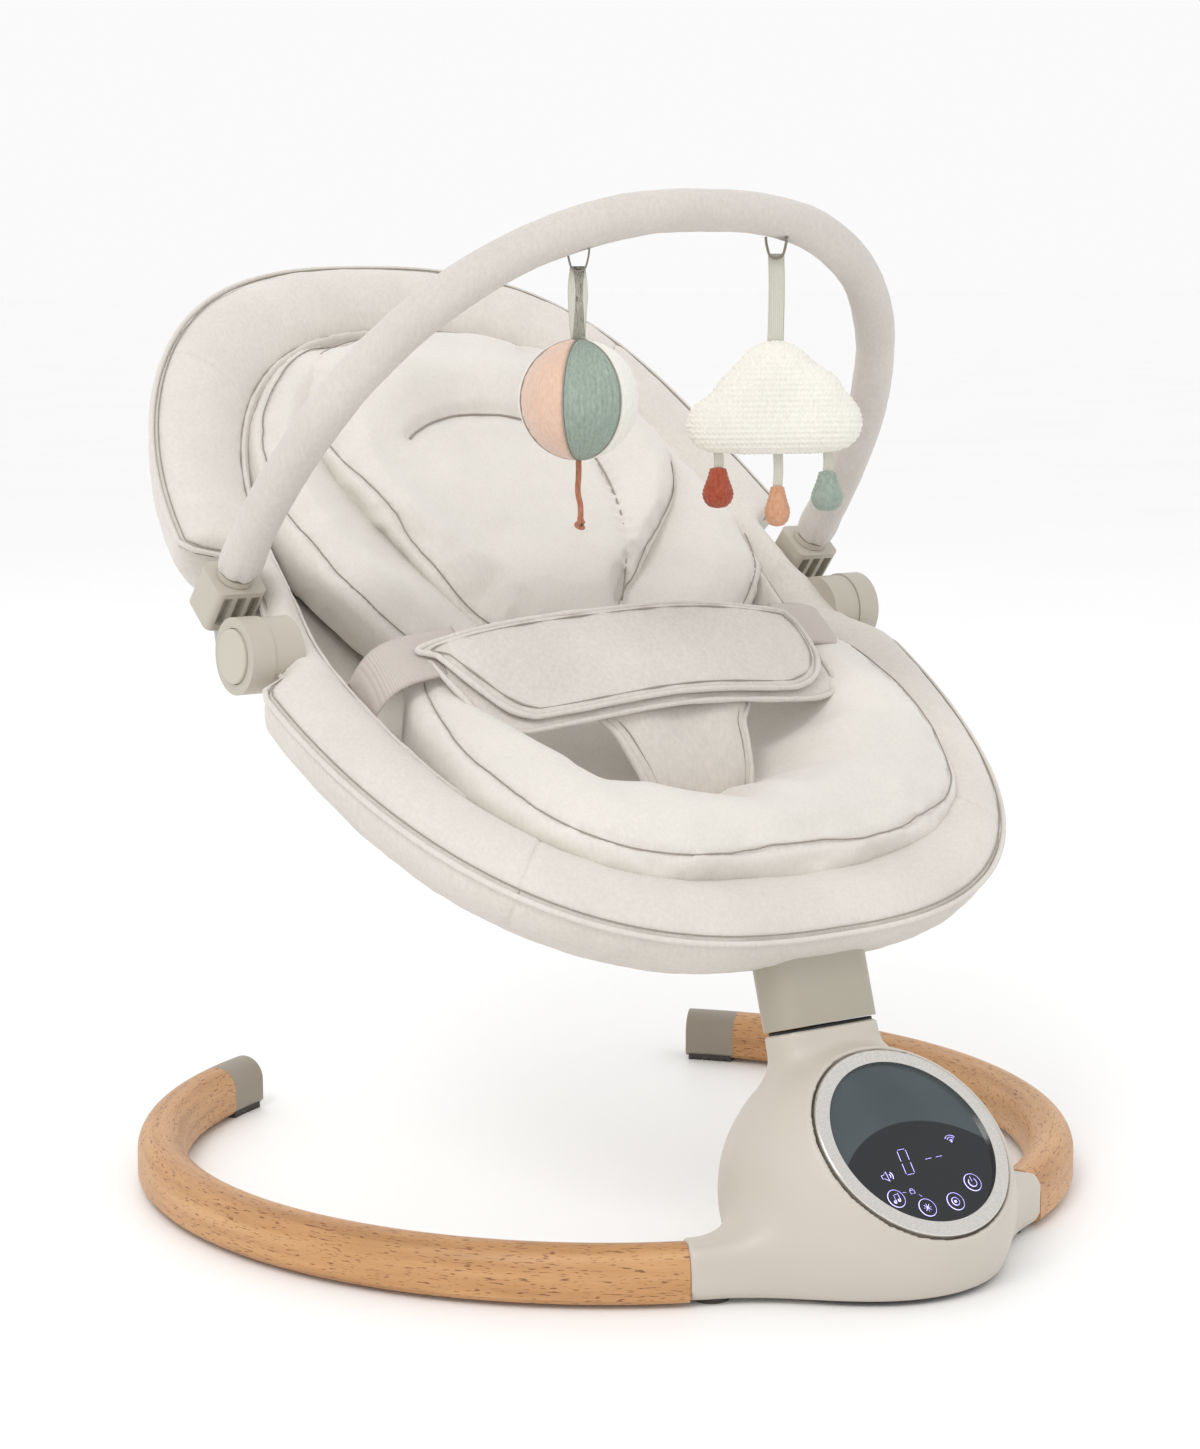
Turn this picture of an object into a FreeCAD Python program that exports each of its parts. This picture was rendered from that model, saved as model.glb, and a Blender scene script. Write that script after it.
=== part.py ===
"""Electric baby swing: a bucket seat on one leaning post, over a beech hoop base.

Millimetres, +Z up, -Y towards the foot end and the control pod, left is -X.
The drawing is made about the hoop's centre and moved along Y when it is saved,
so the saved origin is the middle of the footprint, on the floor.
"""
import FreeCAD, Part
import math
import os

os.makedirs("parts", exist_ok=True)

# ---------------------------------------------------------------- driving sizes
ORIGIN_SHIFT_Y = 17.0       # hoop centre to the middle of the footprint

HOOP_R = 305.0              # outer radius of the hoop
BAR_W = 30.0                # width of the hoop's section
FOOT_Z = 3.0                # underside of wood and pod above the floor
BAR_TOP_Z = 35.0            # top of the hoop's section
POD_ANGLE = 26.0            # hoop angle where the pod ends and the wood starts
CAP_ANGLE = 7.4             # hoop angle that an end cap covers
LEFT_END = 154.4            # hoop angle of the left arm's end
RIGHT_END = 132.4           # hoop angle of the right arm's end
SIDES = (("left", -1), ("right", 1))

FACE = (0.0, -308.0, 84.0)  # centre of the pod's round control face
FACE_TILT = 44.4            # the face leans back from vertical by 90 minus this
FACE_R = 63.0               # outer radius of the silver bezel
GLASS_R = 54.0
WALL = 3.0                  # moulded wall of the pod and the neck

JACK_R = 2.85               # power inlet in the back of the pod
JACK_X, JACK_Y, JACK_Z = 34.0, -187.0, 22.0

SLIT = (0.0, -223.0, 136.0)  # where the swinging axis crosses the neck's slit
LEAN = 17.0                  # the post leans back by this angle
NECK_W = 74.0
NECK_D = 34.0
NECK_CORNER = 14.0
NECK_TOP = 50.0             # end of the swinging neck cover, above the slit
SADDLE_TOP = 62.0           # end of the bracket that carries the seat tube
SPINDLE_R = 8.0
RUNNING = 0.04              # radial running clearance of the two shafts

HINGE_Y = 45.0              # recline axis, along X
HINGE_Z = 348.0
SEAT_SLOPE = 28.6           # the seat's rim falls to the foot by this angle
BACK_SLOPE = 42.3           # the back's rim rises to the head by this angle
RECLINE = 22.0
SEAT_W, SEAT_L = 247.0, 322.0   # half width and length of the seat's rim
BACK_W, BACK_L = 244.0, 345.0
BOWL_DEPTH = 68.0
LINING_DEPTH = 50.0
RIM_BAND = 58.0             # width of the padded rim
CORNERS = 2.5               # superellipse exponent of every rim
TUBE_R = 7.0
TUBE_INSET = 28.0
TUBE_DEPTH = 14.0
BACK_TUBE_DEPTH = 24.0
BACK_TUBE_X = 237.0         # the back tube's ends spread to meet the outer hubs
PAD_SIDE_GAP = 17.0         # room for the side straps beside the inserts
PAD_TOP = 12.0              # height of the inserts above the rims

BAND_AT = (0.0, -23.0, 352.0)   # middle of the tummy band's upper edge, below its crown
BAND_SLOPE = 40.0
BAND_HALF, BAND_L, BAND_T = 141.0, 64.0, 8.0
BAND_RISE = 16.0            # crown of the arched band
STRAP_W = 36.0

HUB_R = 24.0
BUTTON_R = 17.0

ARCH_FOOT = (228.0, 75.0, 394.0)    # right end of the toy bar
ARCH_SLOPE = 129.0                  # the arch's plane, up from +Y
ARCH_H = 288.0
ARCH_CORNERS = 2.3
ARCH_TUBE_R = 8.0
SLEEVE_R = 13.4
PLUG = (16.0, 12.0, 24.0)

BALL_X = -88.0
BALL_R = 36.0
BALL_DROP = 101.0           # bar centre to ball centre
CLOUD_X = 56.0
CLOUD_DROP = 112.0
CLOUD_TURN = -24.0          # the hanging cloud is turned about Z
CLOUD_T = 28.0
BALL_TAIL = ((0, 0, 0), (0.6, 0.5, -9), (-0.9, 0.2, -19), (1.6, -0.8, -29), (0.8, -0.4, -37))
TAIL_R = 1.8
DROPS = (("left", -36.0, 3.0), ("middle", 2.0, -9.0), ("right", 34.0, 0.0))

X, Y, Z = FreeCAD.Vector(1, 0, 0), FreeCAD.Vector(0, 1, 0), FreeCAD.Vector(0, 0, 1)
ORIGIN = FreeCAD.Vector(0, 0, 0)


# ---------------------------------------------------------------- helpers
def vec(x, y, z):
    return FreeCAD.Vector(x, y, z)


def save(node, shape):
    """Write one node, moved so that the origin is under the middle of the object."""
    moved = shape.copy()
    moved.translate(vec(0, ORIGIN_SHIFT_Y, 0))
    if not moved.isValid():
        print("INVALID", node)
    moved.exportStep("parts/%s.step" % node)


def turned(shape, angle, axis=X, centre=ORIGIN):
    result = shape.copy()
    result.rotate(centre, axis, angle)
    return result


def moved(shape, x, y, z):
    result = shape.copy()
    result.translate(vec(x, y, z))
    return result


def box(x0, x1, y0, y1, z0, z1):
    return Part.makeBox(x1 - x0, y1 - y0, z1 - z0, vec(x0, y0, z0))


def rod(radius, start, end, axis=Z):
    """Cylinder on an axis through the origin, from start to end along it."""
    return Part.makeCylinder(radius, end - start, axis * start, axis)


def ring(outer, inner, start, end, axis=Z):
    return rod(outer, start, end, axis).cut(rod(inner, start - 1, end + 1, axis))


def rounded_bar(width, depth, corner, start, end):
    """Upright bar of rounded rectangular section."""
    bar = box(-width / 2, width / 2, -depth / 2, depth / 2, start, end)
    upright = [e for e in bar.Edges if abs(e.tangentAt(e.FirstParameter).z) > 0.9]
    return bar.makeFillet(corner, upright)


def fuse_all(shapes):
    result = shapes[0]
    for shape in shapes[1:]:
        result = result.fuse(shape)
    return result.removeSplitter()


def on_post(shape):
    """From the post's frame (Z up the post, origin at the slit) to the object's."""
    return moved(turned(shape, -LEAN), *SLIT)


def on_face(shape):
    """From the control face's frame (Z out of the face) to the object's."""
    return moved(turned(shape, FACE_TILT), *FACE)


def on_seat(shape):
    """From the seat rim's frame (Y to the foot, Z out of the bowl) to the object's."""
    return moved(turned(turned(shape, 180, Z), SEAT_SLOPE), 0, HINGE_Y, HINGE_Z)


def on_back(shape):
    """From the back rim's frame (Y to the head, Z out of the bowl) to the object's."""
    return moved(turned(shape, BACK_SLOPE), 0, HINGE_Y, HINGE_Z)


def on_arch(shape):
    """From the toy bar's frame (X across, Y up the arch) to the object's."""
    return moved(turned(shape, ARCH_SLOPE), 0, ARCH_FOOT[1], ARCH_FOOT[2])


def hoop_arc(face, start, end):
    """Revolve a section at X = radius about Z; angles run from -Y towards +X."""
    first = turned(face, start - 90, Z)
    return first.revolve(ORIGIN, Z, end - start)


def superellipse(half_width, length, exponent, t):
    """Point of a half superellipse; t runs 0 to 1 from the right end to the left."""
    c, s = math.cos(math.pi * t), math.sin(math.pi * t)
    x = half_width * math.copysign(abs(c) ** (2 / exponent), c)
    return vec(x, length * abs(s) ** (2 / exponent), 0)


def tangent_polygon(half_width, length, exponent, steps=(0.1, 0.24, 0.38)):
    """Corner points of straight runs that just touch a half superellipse."""
    runs = [(vec(half_width, 0, 0), Y)]
    small = 0.001
    for t in steps:
        here = superellipse(half_width, length, exponent, t)
        runs.append((here, superellipse(half_width, length, exponent, t + small) - here))
    runs.append((vec(0, length, 0), X * -1))
    corners = []
    for (p, d), (q, e) in zip(runs, runs[1:]):
        k = ((q.x - p.x) * e.y - (q.y - p.y) * e.x) / (d.x * e.y - d.y * e.x)
        corners.append(p + d * k)
    mirrored = [vec(-p.x, p.y, 0) for p in reversed(corners)]
    return corners + mirrored


def smooth_path(points, share=0.49):
    """Wire of straight runs joined by tangent arcs as large as the runs allow."""
    edges, here = [], points[0]
    for before, corner, after in zip(points, points[1:], points[2:]):
        back, ahead = before - corner, after - corner
        reach = share * min(back.Length, ahead.Length)
        back.normalize()
        ahead.normalize()
        start, end = corner + back * reach, corner + ahead * reach
        half = back.getAngle(ahead) / 2
        inward = back + ahead
        inward.normalize()
        radius = reach * math.tan(half)
        middle = corner + inward * (reach / math.cos(half) - radius)
        edges.append(Part.LineSegment(here, start).toShape())
        edges.append(Part.Arc(start, middle, end).toShape())
        here = end
    edges.append(Part.LineSegment(here, points[-1]).toShape())
    return Part.Wire(edges)


def pipe(path, radius):
    start = path.Edges[0].Vertexes[0].Point
    direction = path.Edges[0].tangentAt(path.Edges[0].FirstParameter)
    circle = Part.Wire(Part.makeCircle(radius, start, direction))
    return path.makePipeShell([circle], True, True)


def u_tube(half_width, length, exponent, radius, start_x=None, start_y=0.0):
    """Bent tube in the XY plane, round a half superellipse, ends along Y."""
    corners = tangent_polygon(half_width, length, exponent)
    foot = half_width if start_x is None else start_x
    ends = [vec(foot, start_y, 0)]
    path = ends + corners + [vec(-foot, start_y, 0)]
    return pipe(smooth_path(path), radius)


def ellipsoid(a, b, c):
    matrix = FreeCAD.Matrix()
    matrix.scale(a, b, c)
    return Part.makeSphere(1.0).transformGeometry(matrix)


def rim_block(half_width, length, low, high):
    """Upright block with a half superellipse outline that opens at Y = 0."""
    count = 20
    points = [superellipse(half_width, length, CORNERS, i / count) for i in range(count + 1)]
    curve = Part.BSplineCurve()
    curve.interpolate(points)
    chord = Part.LineSegment(points[-1], points[0]).toShape()
    face = Part.Face(Part.Wire([curve.toShape(), chord]))
    return moved(face, 0, 0, low).extrude(vec(0, 0, high - low))


def bowl(half_width, length, depth, top):
    """Half bowl below Z = 0 with a flat top at the given height."""
    swell = 1.09
    dome = ellipsoid(half_width * swell, length * swell, depth)
    upright = rim_block(half_width, length, 0, top) if top > 0 else None
    lower = rim_block(half_width, length, -depth - 5, 0).common(dome)
    return lower.fuse(upright) if upright else lower


def wedge(low_angle, high_angle, gap):
    """Big prism round the recline axis between two angles, gap mm off both sides."""
    reach = 700.0
    points = [vec(0, 0, 0)]
    steps = 4
    for i in range(steps + 1):
        a = math.radians(low_angle + (high_angle - low_angle) * i / steps)
        points.append(vec(0, reach * math.cos(a), reach * math.sin(a)))
    points.append(points[0])
    face = Part.Face(Part.makePolygon(points))
    middle = math.radians((low_angle + high_angle) / 2)
    solid = moved(face, -400, 0, 0).extrude(vec(800, 0, 0))
    shift = gap / math.sin(math.radians((high_angle - low_angle) / 2))
    return moved(solid, 0, HINGE_Y + shift * math.cos(middle), HINGE_Z + shift * math.sin(middle))


# ---------------------------------------------------------------- hoop base
def bar_section(inset=0.0, low=FOOT_Z):
    """Section of the hoop: flat underside, straight sides, half round top."""
    r = BAR_W / 2 - inset
    centre = HOOP_R - BAR_W / 2
    shoulder = BAR_TOP_Z - BAR_W / 2
    foot = 3.0
    a, b = centre - r, centre + r
    top = Part.Arc(vec(b, 0, shoulder), vec(centre, 0, shoulder + r), vec(a, 0, shoulder))
    corners = [(a, shoulder), (a, low + foot), (a + foot, low), (b - foot, low), (b, low + foot), (b, shoulder)]
    points = [vec(x, 0, z) for x, z in corners]
    sides = [Part.LineSegment(p, q).toShape() for p, q in zip(points, points[1:])]
    return Part.Face(Part.Wire([top.toShape()] + sides))


def block_section(r0, r1, z0, z1):
    points = [vec(r0, 0, z0), vec(r1, 0, z0), vec(r1, 0, z1), vec(r0, 0, z1), vec(r0, 0, z0)]
    return Part.Face(Part.makePolygon(points))


def signed_arc(face, sign, start, end):
    """Arc between two angles on the given side of the hoop."""
    low, high = sorted((sign * start, sign * end))
    return hoop_arc(face, low, high)


def tenon(sign):
    """Curved steel bar that joins an arm to the pod."""
    r = HOOP_R - BAR_W / 2
    return signed_arc(block_section(r - 6, r + 6, 9, 25), sign, 17, 38)


def spigot(sign, end):
    """Round end of the wood inside its cap."""
    r = HOOP_R - BAR_W / 2
    circle = Part.Face(Part.Wire(Part.makeCircle(7, vec(r, 0, 19), Y)))
    return signed_arc(circle, sign, end - CAP_ANGLE - 0.5, end - CAP_ANGLE + 3.2)


def rubber_pad(sign, end):
    """Ridged pad that fills the underside of an end cap."""
    pad = signed_arc(block_section(HOOP_R - BAR_W + 1.5, HOOP_R - 1.5, 0, 5), sign, end - CAP_ANGLE + 0.4, end - 0.4)
    for i in range(1, 6):
        groove = box(HOOP_R - BAR_W - 5, HOOP_R + 5, -0.9, 0.9, -1, 1.4)
        pad = pad.cut(turned(groove, sign * (end - CAP_ANGLE + i * CAP_ANGLE / 6) - 90, Z))
    return pad


def make_hoop():
    pads = []
    for (name, sign), end in zip(SIDES, (LEFT_END, RIGHT_END)):
        arm = signed_arc(bar_section(), sign, POD_ANGLE, end - CAP_ANGLE)
        arm = arm.cut(tenon(sign)).fuse(spigot(sign, end)).removeSplitter()
        save("wood_arm_" + name, arm)
        save("arm_tenon_" + name, tenon(sign))
        cap = signed_arc(bar_section(), sign, end - CAP_ANGLE, end)
        cap = cap.cut(spigot(sign, end)).cut(rubber_pad(sign, end))
        save("end_cap_" + name, cap)
        pads.append(rubber_pad(sign, end))
    for x, y in ((-112, -264), (112, -264), (0, -318)):
        pads.append(moved(rod(11, 0, FOOT_Z), x, y, 0))
    save("foot_pads", Part.makeCompound(pads))


# ---------------------------------------------------------------- control pod
BULB = ((66, 0), (73, -9), (82, -24), (88, -44), (89, -60), (85, -82), (73, -104), (50, -121), (0, -131))


def bulb(inset):
    """Body of revolution behind the control face."""
    points = [vec(max(r - inset, 0), 0, z + (inset if r == 0 else 0)) for r, z in BULB]
    curve = Part.BSplineCurve()
    curve.interpolate(points)
    top, bottom = points[0], points[-1]
    centre = vec(0, 0, 0)
    edges = [curve.toShape(), Part.LineSegment(bottom, centre).toShape(), Part.LineSegment(centre, top).toShape()]
    return on_face(Part.Face(Part.Wire(edges)).revolve(ORIGIN, Z, 360))


def neck_bar(inset, start, end):
    bar = rounded_bar(NECK_W - 2 * inset, NECK_D - 2 * inset, NECK_CORNER - inset, start, end)
    return on_post(bar)


def make_pod():
    above = box(-400, 400, -450, 0, FOOT_Z, 400)
    arms = signed_arc(bar_section(), 1, -POD_ANGLE, POD_ANGLE)
    shell = fuse_all([bulb(0), arms, neck_bar(0, -78, -1)]).common(above)
    hollow = bulb(WALL).common(on_face(rod(120, -200, -12)))
    shell = shell.cut(hollow).cut(neck_bar(WALL, -70, 5))
    shell = shell.cut(on_face(rod(FACE_R, -6, 5))).cut(on_face(rod(44, -20, 5)))
    for _, sign in SIDES:
        shell = shell.cut(tenon(sign))
    shell = shell.cut(moved(rod(5.6, -230, -150, Y), JACK_X, 0, JACK_Z))
    housing = bearing_housing()
    save("bearing_housing", housing)
    save("pod_shell", shell.cut(housing).removeSplitter())

    floor = hollow.common(box(-200, 200, -450, 0, FOOT_Z, FOOT_Z + 3))
    screws = []
    plate = floor
    for x, y in ((-48, -262), (48, -262), (0, -212)):
        plate = plate.cut(moved(rod(2.0, 0, 10), x, y, 0))
        screws.append(moved(rod(2.0, 3.2, 14).fuse(rod(3.6, 6.0, 8.2)), x, y, 0))
    save("pod_base_plate", plate)
    save("pod_screws", Part.makeCompound(screws))

    save("bezel_ring", on_face(bezel()))
    save("panel_glass", on_face(rod(GLASS_R, -3.2, -0.6)))
    save("panel_board", on_face(rod(40, -12, -10.4)))
    boards = box(-34, 34, -300, -262, 12, 13.6)
    save("main_board", boards)
    save("speaker", moved(Part.makeCone(17, 9, 12, vec(0, 0, 0), Z), 40, -232, FOOT_Z + 3))
    jack = moved(ring(5.5, JACK_R, -200, -180, Y), JACK_X, 0, JACK_Z)
    save("dc_socket", jack.common(box(0, 100, -200, JACK_Y, 0, 100)))

    rings = [on_post(ring(12, SPINDLE_R + RUNNING, s, s + 10)) for s in (-70, -14)]
    save("bearings", Part.makeCompound(rings))
    coil = ring(11, 4, 47, 57, Y * -1)
    save("drive_coil", on_post(turned(moved(coil, 0, 0, -88), 180, Z)))


def bearing_housing():
    """Sleeve for the two bearings with a flange that fills the neck."""
    housing = ring(14.5, 12, -70, -4)
    fit = WALL + 0.2
    flange = rounded_bar(NECK_W - 2 * fit, NECK_D - 2 * fit, NECK_CORNER - fit, -14, -9).cut(rod(12, -80, 5))
    return on_post(housing.fuse(flange).removeSplitter())


def bezel():
    """Silver ring, raised and rounded, with a seat for the glass."""
    blank = rod(FACE_R, -6, 1.8)
    rim = [e for e in blank.Edges if abs(e.BoundBox.ZMin - 1.8) < 0.01 and len(e.Vertexes) == 1]
    blank = blank.makeFillet(1.6, rim)
    return blank.cut(rod(GLASS_R, -3.2, 5)).cut(rod(46, -8, 0))


# ---------------------------------------------------------------- swinging post and seat frame
def seat_tube(radius=TUBE_R):
    """Frame tube round the seat, in the rim's frame; a larger radius makes its channel."""
    tube = u_tube(SEAT_W - TUBE_INSET, SEAT_L - TUBE_INSET, CORNERS, radius, start_y=20)
    return moved(tube, 0, 0, -TUBE_DEPTH)


def back_tube(radius=TUBE_R):
    """Frame tube round the back, in the rim's frame."""
    width, length = BACK_W - TUBE_INSET, BACK_L - TUBE_INSET
    tube = u_tube(width, length, CORNERS, radius, start_x=BACK_TUBE_X, start_y=7)
    return moved(tube, 0, 0, -BACK_TUBE_DEPTH)


def make_post():
    save("spindle", on_post(rod(SPINDLE_R, -98, 44)))
    arm = rod(15, -96, -84).fuse(box(-8, 8, 0, 34, -94, -86)).cut(rod(SPINDLE_R, -100, 50))
    save("drive_arm", on_post(arm.removeSplitter()))
    save("drive_magnet", on_post(box(-9, 9, 34, 44, -99, -79)))
    neck = neck_bar(0, 1, NECK_TOP).cut(neck_bar(WALL, -5, 70))
    save("neck_cover", neck)
    bracket = rounded_bar(60, 26, 8, 20, SADDLE_TOP).cut(rod(SPINDLE_R, 0, 44))
    tube = on_seat(seat_tube())
    save("seat_bracket", on_post(bracket).cut(tube))
    save("seat_tube", tube)
    axles = []
    for name, sign in SIDES:
        along = X * sign
        inner = rod(HUB_R - 1, 209, 229.7, along).cut(rod(5, 214, 240, along))
        inner = moved(inner, 0, HINGE_Y, HINGE_Z)
        save("inner_hub_" + name, inner.cut(tube))
        axles.append(moved(rod(5, 214, 232.5, along), 0, HINGE_Y, HINGE_Z))
    save("hub_axles", Part.makeCompound(axles))


# ---------------------------------------------------------------- seat fabric
FRONT_ZONE = (90 + SEAT_SLOPE, 270 + SEAT_SLOPE)
BACK_ZONE = (SEAT_SLOPE - 90 + RECLINE + 3, 112)


def hub_clearance():
    """Stepped room for the hubs, wider where the buttons move."""
    steps = []
    for _, sign in SIDES:
        steps.append(rod(HUB_R + 3, 206, 300, X * sign))
        steps.append(rod(HUB_R + 16, 224, 300, X * sign))
    return Part.makeCompound([moved(step, 0, HINGE_Y, HINGE_Z) for step in steps])


def hollowed(half_width, length):
    """Padded rim and floor of one half of the bucket."""
    lining = bowl(half_width - RIM_BAND, length - RIM_BAND, LINING_DEPTH, 5)
    return bowl(half_width, length, BOWL_DEPTH, 0).cut(lining)


def pad_blank(half_width, length, gap):
    """Insert that lies in the lining, narrower than it, and stands a little above the rim."""
    return bowl(half_width - RIM_BAND - PAD_SIDE_GAP, length - RIM_BAND - gap, LINING_DEPTH - gap, PAD_TOP)


def make_seat_fabric():
    zone = wedge(*FRONT_ZONE, 3)
    cover = hollowed(SEAT_W, SEAT_L).cut(seat_tube(TUBE_R + 0.3))
    cover = on_seat(cover).common(zone).cut(hub_clearance())
    cover = cover.cut(on_post(rounded_bar(NECK_W + 1, NECK_D + 1, NECK_CORNER, 0, NECK_TOP + 0.5)))
    cover = cover.cut(on_post(rounded_bar(61, 27, 8, 20, SADDLE_TOP + 0.5)))
    save("seat_cover", cover)
    pad = pad_blank(SEAT_W, SEAT_L, 3.0).cut(moved(ellipsoid(112, 200, 42), 0, 0, PAD_TOP))
    save("seat_pad", on_seat(pad).common(wedge(*FRONT_ZONE, 4)))


def make_back_fabric():
    zone = wedge(*BACK_ZONE, 3)
    cover = hollowed(BACK_W, BACK_L).cut(back_tube(TUBE_R + 0.3))
    cover = on_back(cover).common(zone).cut(hub_clearance())
    for _, sign in SIDES:
        cover = cover.cut(on_arch(socket_room(sign)))
    save("back_cover", cover)
    hollow = moved(ellipsoid(112, 232, 40), 0, 0, PAD_TOP)
    pad = pad_blank(BACK_W, BACK_L, 3.0)
    save("back_pad", on_back(pad.cut(hollow)).common(wedge(*BACK_ZONE, 4)))
    save("head_pillow", on_back(moved(ellipsoid(70, 48, 9), 0, 150, 2)))


# ---------------------------------------------------------------- harness
def make_harness():
    """Arched tummy band, crotch strap below it and the two side straps."""
    radius = (BAND_HALF ** 2 + BAND_RISE ** 2) / (2 * BAND_RISE)
    span = math.degrees(math.asin(BAND_HALF / radius))
    outline = [vec(-BAND_HALF, -3, 0), vec(BAND_HALF, -3, 0), vec(BAND_HALF - 38, BAND_L, 0),
               vec(38 - BAND_HALF, BAND_L, 0), vec(-BAND_HALF, -3, 0)]
    plan = moved(Part.Face(Part.makePolygon(outline)), 0, 0, -60).extrude(vec(0, 0, 120))
    arch = ring(radius, radius - BAND_T, -10, BAND_L + 10, Y)
    arch = moved(arch, 0, 0, BAND_RISE - radius).common(plan)
    save("tummy_band", on_band(arch.common(box(-200, 200, -20, 120, -30, 60))))

    under = BAND_RISE - BAND_T
    top = [(8, under - 1.2), (58, under - 1.2), (80, under - 4), (102, -12), (107, -19)]
    low = [(103, -20), (97, -15), (78, under - 8.5), (57, under - 5.4), (8, under - 5.4)]
    profile = [vec(0, y, z) for y, z in top + low + top[:1]]
    strap = moved(Part.Face(Part.makePolygon(profile)), -34, 0, 0).extrude(vec(68, 0, 0))
    save("crotch_strap", on_band(strap))

    drop = BAND_RISE - radius + math.sqrt(radius ** 2 - BAND_HALF ** 2) - BAND_T / 2
    for name, sign in SIDES:
        route = [(134, drop - 4), (158, drop - 9), (176, drop - 13), (180.5, drop - 44)]
        top = [vec(sign * x, -17, z) for x, z in route]
        under = [p + vec(0, 0, -2.2) for p in reversed(top)]
        face = Part.Face(Part.makePolygon(top + under + [top[0]]))
        save("side_strap_" + name, on_band(face.extrude(vec(0, STRAP_W, 0))))


def on_band(shape):
    """From the band's frame (Y down the lap, Z out of the lap) to the object's."""
    return moved(turned(turned(shape, 180, Z), BAND_SLOPE), *BAND_AT)


# ---------------------------------------------------------------- backrest frame and recline hubs
def socket_room(sign):
    """Space that a toy bar socket and the sleeve above it need in the padding."""
    return box(*sorted((sign * 207, sign * 300)), -34, 40, -17, 17)


def make_back_frame():
    tube = on_back(back_tube())
    save("back_tube", tube)
    springs = []
    for name, sign in SIDES:
        along = X * sign
        hub = rod(HUB_R, 230, 246, along).cut(rod(BUTTON_R + 0.4, 233, 250, along))
        hub = moved(hub.cut(rod(5 + RUNNING, 225, 240, along)), 0, HINGE_Y, HINGE_Z)
        save("outer_hub_" + name, hub.cut(tube))
        plug = box(*sorted((sign * 219.7, sign * 236.3)), -PLUG[2] - 0.6, 1, -6.3, 6.3)
        block = box(*sorted((sign * 211, sign * 245)), -32, -1, -15, 15)
        upright = [e for e in block.Edges if abs(e.tangentAt(e.FirstParameter).y) > 0.9]
        block = block.makeFillet(5, upright).cut(plug)
        for i in range(3):
            x = sign * (215 + 9.5 * i)
            block = block.cut(box(*sorted((x, x + sign * 6.5)), -27, -5, 9, 16))
        block = on_arch(block)
        save("bar_socket_" + name, block.cut(hub_room(sign)).cut(tube))
        springs.append(moved(ring(9, 7.5, 233, 239.5, along), 0, HINGE_Y, HINGE_Z))
        button = rod(BUTTON_R, 238, 248.5, along)
        rim = [e for e in button.Edges if abs(abs(e.BoundBox.XMin) - 248.5) < 0.01 and len(e.Vertexes) == 1]
        button = button.makeFillet(1.5, rim).cut(rod(10, 230, 244, along))
        save("recline_button_" + name, moved(button, 0, HINGE_Y, HINGE_Z))
    save("button_springs", Part.makeCompound(springs))


def hub_room(sign):
    """Disc round the recline hub that the sockets keep clear of."""
    return moved(rod(HUB_R, 200, 300, X * sign), 0, HINGE_Y, HINGE_Z)


# ---------------------------------------------------------------- toy bar
def make_toy_bar():
    foot = ARCH_FOOT[0]
    tube = u_tube(foot, ARCH_H, ARCH_CORNERS, ARCH_TUBE_R, start_y=0.5)
    sleeve = u_tube(foot, ARCH_H, ARCH_CORNERS, SLEEVE_R, start_y=4)
    sleeve = sleeve.cut(u_tube(foot, ARCH_H, ARCH_CORNERS, ARCH_TUBE_R + 0.2, start_y=-1))
    save("toy_bar_tube", on_arch(tube))
    save("toy_bar_sleeve", on_arch(sleeve))
    for name, sign in SIDES:
        x = sign * foot
        plug = box(x - PLUG[0] / 2, x + PLUG[0] / 2, -PLUG[2], 0, -PLUG[1] / 2, PLUG[1] / 2)
        collar = moved(rod(11.5, -0.6, 3.6, Y), x, 0, 0)
        plug = plug.fuse(collar).removeSplitter().cut(moved(rod(ARCH_TUBE_R, 0.5, 20, Y), x, 0, 0))
        save("bar_plug_" + name, on_arch(plug))
    room = on_arch(u_tube(foot, ARCH_H, ARCH_CORNERS, SLEEVE_R + 0.1, start_y=4))
    loops = [toy_loop(x).cut(room) for x in (BALL_X, CLOUD_X)]
    save("toy_loops", Part.makeCompound(loops))


def arch_point(x):
    """Point of the toy bar's centre line at the given X, found on its superellipse."""
    share = 1 - (abs(x) / ARCH_FOOT[0]) ** ARCH_CORNERS
    up = ARCH_H * share ** (1 / ARCH_CORNERS)
    a = math.radians(ARCH_SLOPE)
    return vec(x, ARCH_FOOT[1] + up * math.cos(a), ARCH_FOOT[2] + up * math.sin(a))


def toy_loop(x):
    """Fabric keeper sewn under the sleeve, that a toy's strap hangs from."""
    centre = arch_point(x)
    band = ring(SLEEVE_R + 3.8, SLEEVE_R + 2.2, -6, 6, X)
    tab = box(-6, 6, -1.5, 1.5, -SLEEVE_R - 8, -SLEEVE_R - 2.4)
    return moved(band.fuse(tab).removeSplitter(), centre.x, centre.y, centre.z)


# ---------------------------------------------------------------- hanging toys
def make_ball():
    top = arch_point(BALL_X)
    at = (top.x, top.y, top.z)
    strap = box(-4.5, 4.5, -0.9, 0.9, -BALL_DROP + BALL_R - 1, -SLEEVE_R - 9.0)
    save("ball_strap", moved(strap, *at))
    ball = moved(Part.makeSphere(BALL_R), 0, 0, -BALL_DROP).cut(box(-4.5, 4.5, -0.9, 0.9, -BALL_DROP, 0))
    save("plush_ball", moved(ball, *at))
    tail = pipe(smooth_path([vec(*p) for p in BALL_TAIL], 0.45), TAIL_R)
    save("ball_tail", moved(tail, top.x, top.y, top.z - BALL_DROP - BALL_R))


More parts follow.
